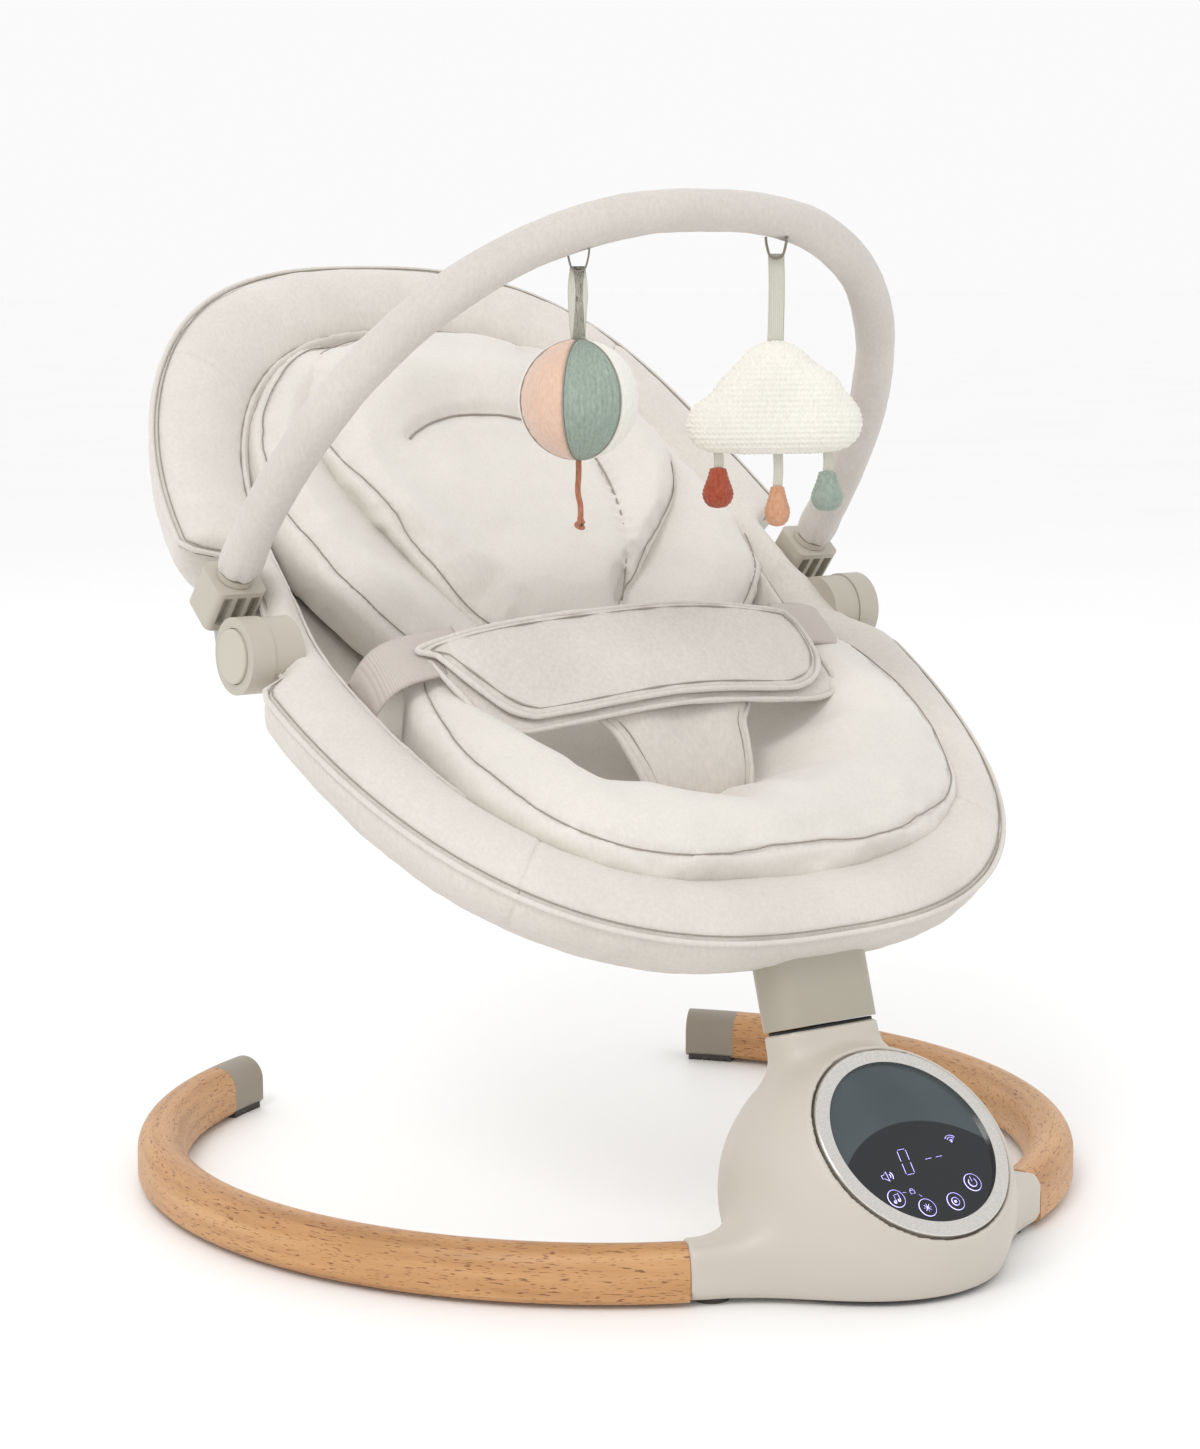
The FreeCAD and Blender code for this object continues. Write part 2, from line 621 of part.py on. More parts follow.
def cloud_outline():
    """Flat-bottomed cloud as a fused set of discs, in the XZ plane."""
    lobes = ((-33, -14, 20), (-12, 10, 25), (19, 6, 24), (36, -14, 18))
    discs = [moved(rod(r, -CLOUD_T / 2, CLOUD_T / 2, Y), x, 0, z) for x, z, r in lobes]
    slab = box(-34, 38, -CLOUD_T / 2, CLOUD_T / 2, -33, -5)
    return fuse_all(discs + [slab]).common(box(-60, 60, -30, 30, -33, 60))


def make_cloud():
    top = arch_point(CLOUD_X)
    strap = box(-4.5, 4.5, -0.9, 0.9, -CLOUD_DROP + 33, -SLEEVE_R - 9.0)
    save("cloud_strap", moved(turned(strap, CLOUD_TURN, Z), top.x, top.y, top.z))
    cloud = moved(cloud_outline(), 0, 0, -CLOUD_DROP).cut(box(-5, 5, -1, 1, -CLOUD_DROP + 30, 0))
    save("plush_cloud", moved(turned(cloud, CLOUD_TURN, Z), top.x, top.y, top.z))
    for name, x, low in DROPS:
        hang = -CLOUD_DROP - 33.4
        ribbon = box(x - 3, x + 3, -0.5, 0.5, hang - 11 + low, hang)
        profile = [vec(3, 0, 0), vec(7.5, 0, -9), vec(9.5, 0, -16), vec(6.5, 0, -22.5), vec(0, 0, -25)]
        curve = Part.BSplineCurve()
        curve.interpolate(profile)
        edges = [curve.toShape(), Part.LineSegment(profile[-1], ORIGIN).toShape(),
                 Part.LineSegment(ORIGIN, profile[0]).toShape()]
        drop = Part.Face(Part.Wire(edges)).revolve(ORIGIN, Z, 360)
        drop = moved(drop, x, 0, hang - 11 + low)
        both = turned(Part.makeCompound([ribbon, drop]), CLOUD_TURN, Z)
        save("drop_" + name, moved(both, top.x, top.y, top.z))


make_hoop()
make_pod()
make_post()
make_seat_fabric()
make_back_fabric()
make_harness()
make_back_frame()
make_toy_bar()
make_ball()
make_cloud()
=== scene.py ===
"""Baby swing: soft goods, toys, pod, materials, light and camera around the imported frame."""

import math

import bpy
import numpy as np
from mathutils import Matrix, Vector, noise


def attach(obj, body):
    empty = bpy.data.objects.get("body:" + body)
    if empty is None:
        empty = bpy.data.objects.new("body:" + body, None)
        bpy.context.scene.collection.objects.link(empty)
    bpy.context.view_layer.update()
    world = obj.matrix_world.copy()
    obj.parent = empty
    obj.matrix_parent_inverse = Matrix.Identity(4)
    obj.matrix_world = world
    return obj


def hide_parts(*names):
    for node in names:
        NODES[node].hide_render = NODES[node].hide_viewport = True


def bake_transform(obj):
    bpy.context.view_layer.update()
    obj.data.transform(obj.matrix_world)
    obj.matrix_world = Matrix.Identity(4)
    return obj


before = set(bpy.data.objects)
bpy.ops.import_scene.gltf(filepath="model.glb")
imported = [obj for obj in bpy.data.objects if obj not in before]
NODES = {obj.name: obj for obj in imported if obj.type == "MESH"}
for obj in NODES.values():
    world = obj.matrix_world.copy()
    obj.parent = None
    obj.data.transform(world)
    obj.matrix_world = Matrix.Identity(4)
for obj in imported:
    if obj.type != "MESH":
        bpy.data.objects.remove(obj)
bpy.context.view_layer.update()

SHIFT = np.array((0.0, 0.017, 0.0))
HINGE = np.array((0.0, 0.045, 0.348)) + SHIFT
SEAT_SLOPE, BACK_SLOPE = math.radians(28.6), math.radians(42.3)
SEAT_W, SEAT_L = 0.247, 0.322
BACK_W, BACK_L = 0.244, 0.345
HOOP_R = 0.290
MM = 0.001


# ---- maths
def smooth(x, low, high):
    t = np.clip((np.asarray(x, float) - low) / (high - low), 0, 1)
    return t * t * (3 - 2 * t)


def signed_power(x, power):
    return np.sign(x) * np.abs(x) ** power


def tilted(origin, degrees):
    """Frame turned about X by an angle, as (origin, 3x3 matrix)."""
    c, s = math.cos(math.radians(degrees)), math.sin(math.radians(degrees))
    return np.array(origin) + SHIFT, np.array(((1, 0, 0), (0, c, -s), (0, s, c)))


def turned(degrees):
    """Matrix of a turn about the upright axis."""
    c, s = math.cos(math.radians(degrees)), math.sin(math.radians(degrees))
    return np.array(((c, -s, 0), (s, c, 0), (0, 0, 1)))


def out_of(local, points):
    origin, matrix = local
    return origin + np.asarray(points, float) @ matrix.T


FACE = tilted((0, -0.308, 0.084), 44.4)
POST = tilted((0, -0.223, 0.136), -17)
ARCH = tilted((0, 0.075, 0.394), 129)
BAND = tilted((0, -0.023, 0.352), 40)


def on_bucket(points):
    """From (x, s, h) to the object: s runs along the seat from foot to head, h out of the bowl."""
    p = np.asarray(points, float)
    x, s, h = p[..., 0], p[..., 1], p[..., 2]
    share = smooth(s, -0.05, 0.05)
    sag = 0.011 * np.sin(np.pi * np.clip(s / BACK_L, 0, 1)) ** 2
    result = np.zeros(p.shape)
    for slope, weight, height in ((SEAT_SLOPE, 1 - share, h), (BACK_SLOPE, share, h - sag)):
        c, n = math.cos(slope), math.sin(slope)
        result[..., 0] += weight * x
        result[..., 1] += weight * (HINGE[1] + s * c - height * n)
        result[..., 2] += weight * (HINGE[2] + s * n + height * c)
    return result


def on_band(points):
    """From the tummy band's (x, down the lap, out of the lap) to the object."""
    return out_of(BAND, np.asarray(points, float) * (1, -1, 1))


def ripple(points, scale, seed=0.0):
    """Smooth noise, about -1 to 1, at points in metres; scale is its features per metre."""
    flat = np.asarray(points, float).reshape(-1, 3) * scale + seed
    values = [noise.noise(Vector(p)) for p in flat]
    return 2 * np.array(values).reshape(np.asarray(points).shape[:-1])


def spline(points, count):
    """Points along a Catmull-Rom curve through the given ones, evenly by parameter."""
    p = np.asarray(points, float)
    p = np.vstack((2 * p[0] - p[1], p, 2 * p[-1] - p[-2]))
    t = np.linspace(0, len(p) - 3 - 1e-9, count)
    i, f = t.astype(int), (t % 1)[:, None]
    a, b, c, d = p[i], p[i + 1], p[i + 2], p[i + 3]
    return 0.5 * (2 * b + (c - a) * f + (2 * a - 5 * b + 4 * c - d) * f ** 2
                  + (3 * b - a - 3 * c + d) * f ** 3)


# ---- mesh parts: (points, faces)
def skin(loops, first_cap=True, last_cap=True):
    """Closed loops of equal count joined by quads, each open end filled with a strip of quads."""
    loops = np.asarray(loops, float)
    rows, count = loops.shape[:2]
    points = loops.reshape(-1, 3)
    faces = []
    for r in range(rows - 1):
        for i in range(count):
            j = (i + 1) % count
            faces.append((r * count + i, r * count + j, (r + 1) * count + j, (r + 1) * count + i))
    for use, row, flip in ((first_cap, 0, True), (last_cap, rows - 1, False)):
        if use:
            first, last = row * count, row * count + count - 1
            for i in range(count // 2 - 1 + count % 2):
                strip = (first + i, first + i + 1, last - i - 1, last - i)
                strip = tuple(dict.fromkeys(strip))
                faces.append(strip[::-1] if flip else strip)
    return points, faces


def tube(path, radius, sides=8, closed=False, squeeze=1.0):
    """Round tube along a path. Radius may be one number or one per point."""
    path = np.asarray(path, float)
    if closed:
        ahead = np.roll(path, -1, 0) - np.roll(path, 1, 0)
    else:
        ahead = np.gradient(path, axis=0)
    ahead /= np.linalg.norm(ahead, axis=1)[:, None]
    side = np.cross(ahead[0], (0.31, 0.42, 0.85))
    loops = []
    radii = np.broadcast_to(radius, len(path))
    for point, direction, r in zip(path, ahead, radii):
        side = side - direction * (side @ direction)
        side = side / np.linalg.norm(side)
        up = np.cross(direction, side)
        angles = np.linspace(0, 2 * math.pi, sides, endpoint=False)[:, None]
        loops.append(point + r * (np.cos(angles) * side + squeeze * np.sin(angles) * up))
    if closed:
        loops.append(loops[0])
    return skin(loops, not closed, not closed)


def mesh_piece(name, parts, materials):
    """One object from several (points, faces, material number) parts."""
    points, faces, numbers = [], [], []
    start = 0
    for p, f, number in parts:
        points.append(np.asarray(p, float))
        faces.extend(tuple(int(i) + start for i in face) for face in f)
        numbers.extend([number] * len(f))
        start += len(p)
    mesh = bpy.data.meshes.new(name)
    mesh.from_pydata(np.vstack(points).tolist(), [], faces)
    for material in materials:
        mesh.materials.append(material)
    mesh.polygons.foreach_set("material_index", numbers)
    mesh.polygons.foreach_set("use_smooth", [True] * len(faces))
    mesh.validate()
    mesh.update()
    return linked(bpy.data.objects.new(name, mesh))


def applied(piece):
    """Bake a piece's modifiers into its mesh."""
    bpy.context.view_layer.update()
    graph = bpy.context.evaluated_depsgraph_get()
    mesh = bpy.data.meshes.new_from_object(piece.evaluated_get(graph))
    piece.modifiers.clear()
    piece.data = mesh
    mesh.polygons.foreach_set("use_smooth", [True] * len(mesh.polygons))
    return piece


def finer(piece, levels=1):
    piece.modifiers.new("finer", "SUBSURF").levels = levels
    return applied(piece)


def points_of(piece):
    co = np.zeros(len(piece.data.vertices) * 3)
    piece.data.vertices.foreach_get("co", co)
    return co.reshape(-1, 3)


def normals_of(piece):
    n = np.zeros(len(piece.data.vertices) * 3, np.float32)
    piece.data.vertex_normals.foreach_get("vector", n)
    return n.reshape(-1, 3).astype(float)


def set_points(piece, points):
    piece.data.vertices.foreach_set("co", np.asarray(points, float).ravel())
    piece.data.update()


def push(piece, amount):
    """Move each point along its normal by its own amount."""
    set_points(piece, points_of(piece) + normals_of(piece) * np.asarray(amount)[:, None])


def distance_to(path, points):
    """Distance from each point to the nearest sample of a path."""
    best = np.full(len(points), 9.0)
    for chunk in np.array_split(np.asarray(path), max(1, len(path) // 40)):
        gap = np.linalg.norm(points[:, None] - chunk[None], axis=2).min(1)
        best = np.minimum(best, gap)
    return best


def declare(piece, slot, body, *nodes, fill=None):
    """Attach a piece to its body and hide the CAD nodes it stands for. Its material slot and its fill are not
    used.
    """
    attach(piece, body)
    if nodes:
        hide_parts(*nodes)


def linked(piece):
    """Put a new object into the scene."""
    bpy.context.scene.collection.objects.link(piece)
    return piece


# ---- materials
def linear(rgb):
    return [((c / 255 + 0.055) / 1.055) ** 2.4 if c > 10 else c / 3294 for c in rgb] + [1.0]


# Sockets of the Mix node that hold colours; its number and vector sockets come before them.
MIX_COLOUR_A, MIX_COLOUR_B, MIX_COLOUR_OUT = 6, 7, 2


class Nodes:
    """Small helper that adds and links nodes of one material."""

    def __init__(self, name):
        self.material = bpy.data.materials.new(name)
        self.material.use_nodes = True
        self.tree = self.material.node_tree
        self.shader = self.tree.nodes["Principled BSDF"]
        self.place = self.tree.nodes.new("ShaderNodeTexCoord").outputs["Object"]

    def add(self, kind, *values, **inputs):
        """New node, fed by socket order and by socket name."""
        node = self.tree.nodes.new("ShaderNode" + kind)
        for key, value in [*enumerate(values), *inputs.items()]:
            self.feed(node, key, value)
        return node

    def feed(self, node, key, value):
        socket = node.inputs[key]
        if isinstance(value, bpy.types.NodeSocket):
            self.tree.links.new(value, socket)
        else:
            socket.default_value = value

    def math(self, operation, a, b=0.0):
        node = self.add("Math", a, b)
        node.operation = operation
        return node.outputs[0]

    def noise(self, scale, detail=2.0, rough=0.5, vector=None):
        node = self.add("TexNoise", Vector=vector or self.place, Scale=scale, Detail=detail, Roughness=rough)
        return node.outputs["Fac"]

    def stretched(self, x, y, z):
        node = self.add("Mapping", Vector=self.place)
        node.inputs["Scale"].default_value = (x, y, z)
        return node.outputs["Vector"]

    def tones(self, factor, stops):
        node = self.add("ValToRGB", Fac=factor)
        ramp = node.color_ramp.elements
        while len(ramp) < len(stops):
            ramp.new(0.5)
        for element, (at, rgb) in zip(ramp, stops):
            element.position = at
            element.color = linear(rgb)
        return node.outputs["Color"]

    def mix(self, factor, a, b, blend="MIX"):
        node = self.add("Mix", factor)
        node.data_type = "RGBA"
        node.blend_type = blend
        self.feed(node, MIX_COLOUR_A, a)
        self.feed(node, MIX_COLOUR_B, b)
        return node.outputs[MIX_COLOUR_OUT]

    def bump(self, height, distance, strength=1.0, under=None):
        node = self.add("Bump", Height=height, Distance=distance, Strength=strength)
        if under:
            self.feed(node, "Normal", under)
        return node.outputs["Normal"]

    def spread(self, value, low, high):
        """Map 0 to 1 onto low to high."""
        node = self.add("MapRange", Value=value)
        node.inputs["To Min"].default_value = low
        node.inputs["To Max"].default_value = high
        return node.outputs["Result"]

    def finish(self, colour, rough, normal=None):
        self.feed(self.shader, "Base Color", colour)
        self.feed(self.shader, "Roughness", rough)
        if normal:
            self.feed(self.shader, "Normal", normal)
        return self.material


def shade(rgb, amount):
    return tuple(max(0, min(255, c + amount)) for c in rgb)


def fabric(name, rgb, thread=1100, depth=0.35, fleck=5, blotch=3, sheen=0.25):
    """Matt cloth: fine threads, flecked yarn and a faint larger mottle."""
    n = Nodes(name)
    threads = n.noise(thread, 3.0, 0.65)
    fibres = n.noise(thread * 0.42, 2.0, 0.6, n.stretched(1.0, 1.0, 0.35))
    yarn = n.tones(fibres, ((0.3, shade(rgb, -fleck)), (0.7, shade(rgb, fleck))))
    large = n.tones(n.noise(14, 2.0), ((0.3, shade((250, 250, 250), -2 * blotch)), (0.7, (255, 255, 255))))
    colour = n.mix(1.0, yarn, large, "MULTIPLY")
    height = n.math("ADD", threads, n.math("MULTIPLY", fibres, 0.8))
    normal = n.bump(height, depth * MM, 0.9)
    n.shader.inputs["Sheen Weight"].default_value = sheen
    n.shader.inputs["Sheen Roughness"].default_value = 0.5
    return n.finish(colour, 0.92, normal)


def webbing(name, rgb):
    """Flat woven tape with fine cross ribs."""
    n = Nodes(name)
    ribs = n.add("TexWave", Vector=n.place, Scale=260.0, Distortion=0.6, Detail=1.0)
    ribs.bands_direction = "X"
    weave = n.math("ADD", ribs.outputs["Fac"], n.noise(1500, 2.0))
    colour = n.tones(weave, ((0.4, shade(rgb, -7)), (1.0, shade(rgb, 4))))
    n.shader.inputs["Sheen Weight"].default_value = 0.15
    return n.finish(colour, 0.85, n.bump(weave, 0.25 * MM))


def plastic(name, rgb, rough, grain=0.03, spread=2):
    """Moulded plastic: fine spark texture and a slight sheen variation."""
    n = Nodes(name)
    colour = n.tones(n.noise(9, 2.0), ((0.35, shade(rgb, -spread)), (0.65, shade(rgb, spread))))
    roughness = n.spread(n.noise(60, 3.0), rough - 0.04, rough + 0.05)
    return n.finish(colour, roughness, n.bump(n.noise(1900, 2.0), grain * MM, 0.5))


def metal(name, rgb, rough, brush=(1.0, 1.0, 1.0)):
    n = Nodes(name)
    streaks = n.noise(700, 3.0, 0.6, n.stretched(*brush))
    colour = n.tones(streaks, ((0.3, shade(rgb, -8)), (0.7, shade(rgb, 6))))
    n.shader.inputs["Metallic"].default_value = 1.0
    roughness = n.spread(streaks, rough - 0.05, rough + 0.07)
    return n.finish(colour, roughness, n.bump(streaks, 0.01 * MM, 0.4))


def beech(name):
    """Oiled beech bent into the hoop: grain, pores and flecks follow the arc."""
    n = Nodes(name)
    split = n.add("SeparateXYZ", Vector=n.place)
    across, deep, up = split.outputs
    deep = n.math("SUBTRACT", deep, float(SHIFT[1]))
    angle = n.math("MULTIPLY", n.math("ARCTAN2", across, n.math("MULTIPLY", deep, -1.0)), HOOP_R)
    out = n.math("SQRT", n.math("ADD", n.math("MULTIPLY", across, across), n.math("MULTIPLY", deep, deep)))
    along = n.add("CombineXYZ", X=n.math("MULTIPLY", angle, 0.07), Y=out, Z=up).outputs[0]
    pores_at = n.add("CombineXYZ", X=n.math("MULTIPLY", angle, 0.16), Y=out, Z=up).outputs[0]
    bands = n.noise(75, 4.0, 0.6, along)
    pores = n.noise(1050, 1.0, 0.5, pores_at)
    wood = n.tones(bands, ((0.3, (172, 124, 76)), (0.5, (196, 147, 97)), (0.72, (211, 165, 115))))
    dark = n.tones(pores, ((0.3, (138, 92, 52)), (0.4, (255, 255, 255))))
    colour = n.mix(0.75, wood, dark, "MULTIPLY")
    normal = n.bump(n.math("ADD", pores, n.math("MULTIPLY", bands, 0.4)), 0.08 * MM, 0.5)
    n.shader.inputs["Coat Weight"].default_value = 0.12
    n.shader.inputs["Coat Roughness"].default_value = 0.35
    return n.finish(colour, 0.46, normal)


def glass(name):
    """Smoked panel glass with a darker round field in its lower part."""
    n = Nodes(name)
    origin, matrix = FACE
    low = origin + matrix @ np.array((0, -0.061, 0))
    offset = n.add("VectorMath", n.place, tuple(low))
    offset.operation = "DISTANCE"
    far = n.add("MapRange", Value=offset.outputs["Value"])
    far.inputs["From Min"].default_value = 0.0745
    far.inputs["From Max"].default_value = 0.0753
    haze = n.noise(25, 1.0)
    upper = n.tones(haze, ((0.2, (54, 64, 68)), (0.8, (66, 77, 81))))
    lower = n.tones(haze, ((0.2, (7, 9, 16)), (0.8, (11, 14, 24))))
    colour = n.mix(far.outputs["Result"], lower, upper)
    return n.finish(colour, 0.09)


def glow(name, rgb, strength):
    """Lit legend behind the panel glass."""
    n = Nodes(name)
    tone = n.tones(n.noise(120, 1.0), ((0.3, shade(rgb, -14)), (0.7, rgb)))
    n.feed(n.shader, "Emission Color", tone)
    n.shader.inputs["Emission Strength"].default_value = strength
    return n.finish(tone, 0.5)


COVER = fabric("cover_cloth", (221, 215, 207), 1000, 0.3, 4, 3)
INSERT = fabric("insert_cloth", (227, 222, 214), 1250, 0.3, 3, 3, 0.35)
BAND_CLOTH = fabric("band_cloth", (216, 209, 201), 900, 0.4, 5, 3)
SLEEVE = fabric("sleeve_cloth", (215, 208, 201), 1100, 0.5, 4, 3)
# Dark seam line colour: partly real thread, partly painted shade of the seam grooves and creases.
SEAM_THREAD_AND_SHADE = fabric("seam_thread_and_shade", (160, 152, 141), 1600, 0.1, 6, 2, 0.0)
TAPE = webbing("strap_webbing", (198, 188, 181))
RIBBON = webbing("toy_ribbon_weave", (205, 204, 190))
POD = plastic("pod_moulding", (200, 192, 181), 0.42, 0.02)
NECK = plastic("neck_moulding", (170, 163, 148), 0.4, 0.02)
HUB = plastic("hub_moulding", (190, 183, 170), 0.45)
BUTTON = plastic("button_moulding", (196, 189, 175), 0.4)
CAP = plastic("cap_moulding", (150, 141, 127), 0.5)
RUBBER = plastic("foot_rubber_grain", (72, 68, 66), 0.8, 0.08)
# Dark moulding of the base plate, speaker, socket, bearing housing and seat bracket; also used for the
# painted shade band in the neck's slit.
DARK_MOULDING_AND_SLIT_SHADE = plastic("dark_moulding_and_slit_shade", (34, 33, 34), 0.5)
BOARD = plastic("circuit_resin", (28, 74, 52), 0.4, 0.05, 8)
STEEL = metal("drawn_steel", (176, 178, 180), 0.3, (1, 1, 0.1))
MAGNET = metal("nickel_magnet", (150, 152, 158), 0.25)
COPPER = metal("wound_copper", (190, 110, 62), 0.35, (1, 1, 4))
SILVER = metal("bezel_silver", (214, 211, 206), 0.24)
GLASS = glass("panel_glass_smoked")
LEGEND = glow("legend_light", (188, 180, 255), 2.2)
BEECH = beech("bent_beech")
KEEPER = fabric("keeper_ribbon", (140, 132, 122), 1500, 0.4, 6, 3)
PEACH_PLUSH = fabric("ball_velour", (230, 194, 172), 1700, 0.5, 7, 6, 0.6)
WHITE_PLUSH = fabric("ball_white", (240, 237, 228), 1700, 0.4, 4, 3, 0.5)
SAGE_KNIT = fabric("sage_yarn", (158, 173, 160), 1500, 0.4, 12, 8)
CLOUD_KNIT = fabric("cloud_yarn", (241, 238, 228), 1500, 0.35, 5, 3)
RUST_KNIT = fabric("rust_yarn", (168, 76, 48), 1500, 0.4, 14, 6)
PEACH_KNIT = fabric("peach_yarn", (214, 160, 126), 1500, 0.4, 12, 6)
TAIL_CORD = fabric("tail_braid", (176, 112, 84), 1800, 0.4, 16, 8)

CAD_FINISH = (
    (BEECH, "wood_arm_left wood_arm_right"),
    (STEEL, "arm_tenon_left arm_tenon_right pod_screws bearings spindle drive_arm seat_tube hub_axles"),
    (STEEL, "back_tube button_springs toy_bar_tube"),
    (CAP, "end_cap_left end_cap_right"),
    (RUBBER, "foot_pads"),
    (DARK_MOULDING_AND_SLIT_SHADE, "pod_base_plate speaker dc_socket bearing_housing seat_bracket"),
    (SILVER, "bezel_ring"),
    (GLASS, "panel_glass"),
    (BOARD, "panel_board main_board"),
    (COPPER, "drive_coil"),
    (MAGNET, "drive_magnet"),
    (NECK, "neck_cover"),
    (HUB, "inner_hub_left inner_hub_right outer_hub_left outer_hub_right"),
    (HUB, "bar_socket_left bar_socket_right bar_plug_left bar_plug_right"),
    (BUTTON, "recline_button_left recline_button_right"),
)
for finish_material, node_names in CAD_FINISH:
    for node_name in node_names.split():
        NODES[node_name].data.materials.clear()
        NODES[node_name].data.materials.append(finish_material)


# ---- bucket cover
RIM_POWER = 2.58
RIM_SEAM = 0.058
SEAM_ANGLES = [math.radians(a) for a in (46.5, 133.5, 226.5, 313.5)]
TOP_PROFILE = ((150, -51), (122, -50), (100, -46), (86, -39), (77, -29), (70, -17), (65, -7), (61.5, -0.8),
               (59.6, 0.4), (58.6, -0.6), (58, -1.8), (57.4, -0.6), (56.2, 0.8), (52, 4.2), (44, 8.6),
               (34, 11.6), (24, 12.4), (15, 11.0), (8, 7.6), (3.6, 4.0), (1.2, 1.4))
UNDER_PROFILE = ((0.2, -1.2), (-0.4, -4), (-0.2, -9), (1.4, -15), (3.4, -20), (4.4, -22.5), (6.5, -24.5),
                 (11, -30), (18, -38), (28, -46), (44, -53), (66, -59), (95, -64), (130, -67), (150, -67.5))


def rim_notch(s):
    """How far the cover's outer edge is cut in, round the hubs and the toy bar's sockets."""
    hub = smooth(s, -0.042, -0.026) * (1 - smooth(s, 0.03, 0.044)) * 0.022
    socket = smooth(s, 0.014, 0.032) * (1 - smooth(s, 0.082, 0.1)) * 0.036
    return np.maximum(hub, socket)


def rim_points(angles, inset, height):
    """Points of the bucket's outline at an inset, in (x, s, h)."""
    c, n = np.cos(angles), np.sin(angles)
    width = SEAT_W + (BACK_W - SEAT_W) * smooth(n, -0.2, 0.2) - inset
    length = np.where(n >= 0, BACK_L, SEAT_L) - inset
    x = width * signed_power(c, 2 / RIM_POWER)
    s = length * signed_power(n, 2 / RIM_POWER)
    near_edge = np.clip(1 - inset / RIM_SEAM, 0, 1)
    x = x - np.sign(x) * rim_notch(s) * near_edge
    return np.stack((x, s, np.broadcast_to(height, x.shape)), -1)


def cover_angles():
    base = np.linspace(0, 2 * math.pi, 300, endpoint=False)
    extra = [a + d for a in SEAM_ANGLES for d in (-0.012, -0.006, 0, 0.006, 0.012)]
    far = [a for a in base if min(abs(a - b) for b in SEAM_ANGLES) > 0.018]
    return np.array(sorted(far + extra))


def make_cover():
    angles = cover_angles()
    loops = []
    seam_gap = np.min([np.abs(angles - a) for a in SEAM_ANGLES], 0)
    groove = np.exp(-(seam_gap / 0.005) ** 2)
    pucker = np.exp(-seam_gap / 0.05)
    for inset, height in TOP_PROFILE + UNDER_PROFILE:
        d, h = inset * MM, height * MM
        ring = rim_points(angles, d, h)
        if (inset, height) in TOP_PROFILE and d <= RIM_SEAM:
            inside = math.sin(math.pi * min(1.0, d / RIM_SEAM)) ** 0.6
            quilt = np.sin(angles * 44) * smooth(ring[:, 1], 0.16, 0.27) * inside
            ring[:, 2] += MM * (0.7 * quilt - 1.6 * groove * (0.4 + inside) + 0.8 * pucker * inside)
        elif inset < 12:
            ring[:, 2] += 0.8 * MM * groove
            ring[:, 0] *= 1 - 0.006 * groove
            ring[:, 1] *= 1 - 0.004 * groove
        world = on_bucket(ring)
        if inset < 62:
            sway = 0.9 * ripple(world, 11, 3.0) + 0.45 * ripple(world, 34, 8.0)
            edge = 0.3 * np.sin(angles * 190) * np.exp(-abs(inset - 58) / 3)
            world[:, 2] += MM * (sway * min(1, inset / 8) + edge)
        loops.append(world)
    piece = mesh_piece("bucket_cover", [(*skin(loops), 0)], [COVER, SEAM_THREAD_AND_SHADE])
    finer(piece)
    fold = points_of(piece)
    push(piece, 0.22 * MM * ripple(fold, 75, 1.0) + 0.12 * MM * ripple(fold, 160, 4.0))
    piping = on_bucket(rim_points(angles, -1.2 * MM, 0.6 * MM))
    trims = [(*tube(piping, 1.9 * MM, 8, True), 0)]
    # The thin tubes beside the piping, along the inner seam and down the four radial seams lie in the
    # grooves; their dark colour is partly painted seam shade.
    for inset, height, radius in ((2.2, 3.6, 0.45), (0.6, -2.6, 0.45), (RIM_SEAM / MM, -1.0, 0.55)):
        line = on_bucket(rim_points(angles, inset * MM, height * MM))
        trims.append((*tube(line, radius * MM, 5, True), 1))
    steps = [(inset, height) for inset, height in TOP_PROFILE if inset * MM <= RIM_SEAM]
    for a in SEAM_ANGLES:
        across = [rim_points(np.array([a]), inset * MM, (height - 1.6) * MM)[0] for inset, height in steps]
        trims.append((*tube(on_bucket(across), 0.5 * MM, 5), 1))
    edging = mesh_piece("cover_piping", trims, [COVER, SEAM_THREAD_AND_SHADE])
    for soft in (piece, edging):
        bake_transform(soft)
    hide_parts("seat_cover", "back_cover")


# ---- inserts
def outline_of(table, centre, count=200):
    """Outline through rows of (s, left x, right x) in mm, as its middle, angles and reach at each."""
    left = [(row[1], row[0]) for row in table]
    right = [(row[2], row[0]) for row in reversed(table)]
    ring = np.array(left + right, float) * MM
    path = spline(np.vstack((ring[-2:], ring, ring[:2])), 1200)
    middle = np.array(centre) * MM
    turn = np.arctan2(path[:, 1] - middle[1], path[:, 0] - middle[0])
    reach = np.linalg.norm(path - middle, axis=1)
    order = np.argsort(turn)
    turn, reach = turn[order], reach[order]
    at = np.linspace(-math.pi, math.pi, count, endpoint=False)
    reach = np.interp(at, turn, reach, period=2 * math.pi)
    kernel = np.ones(5) / 5
    reach = np.convolve(np.concatenate((reach[-2:], reach, reach[:2])), kernel, "valid")
    return middle, at, reach


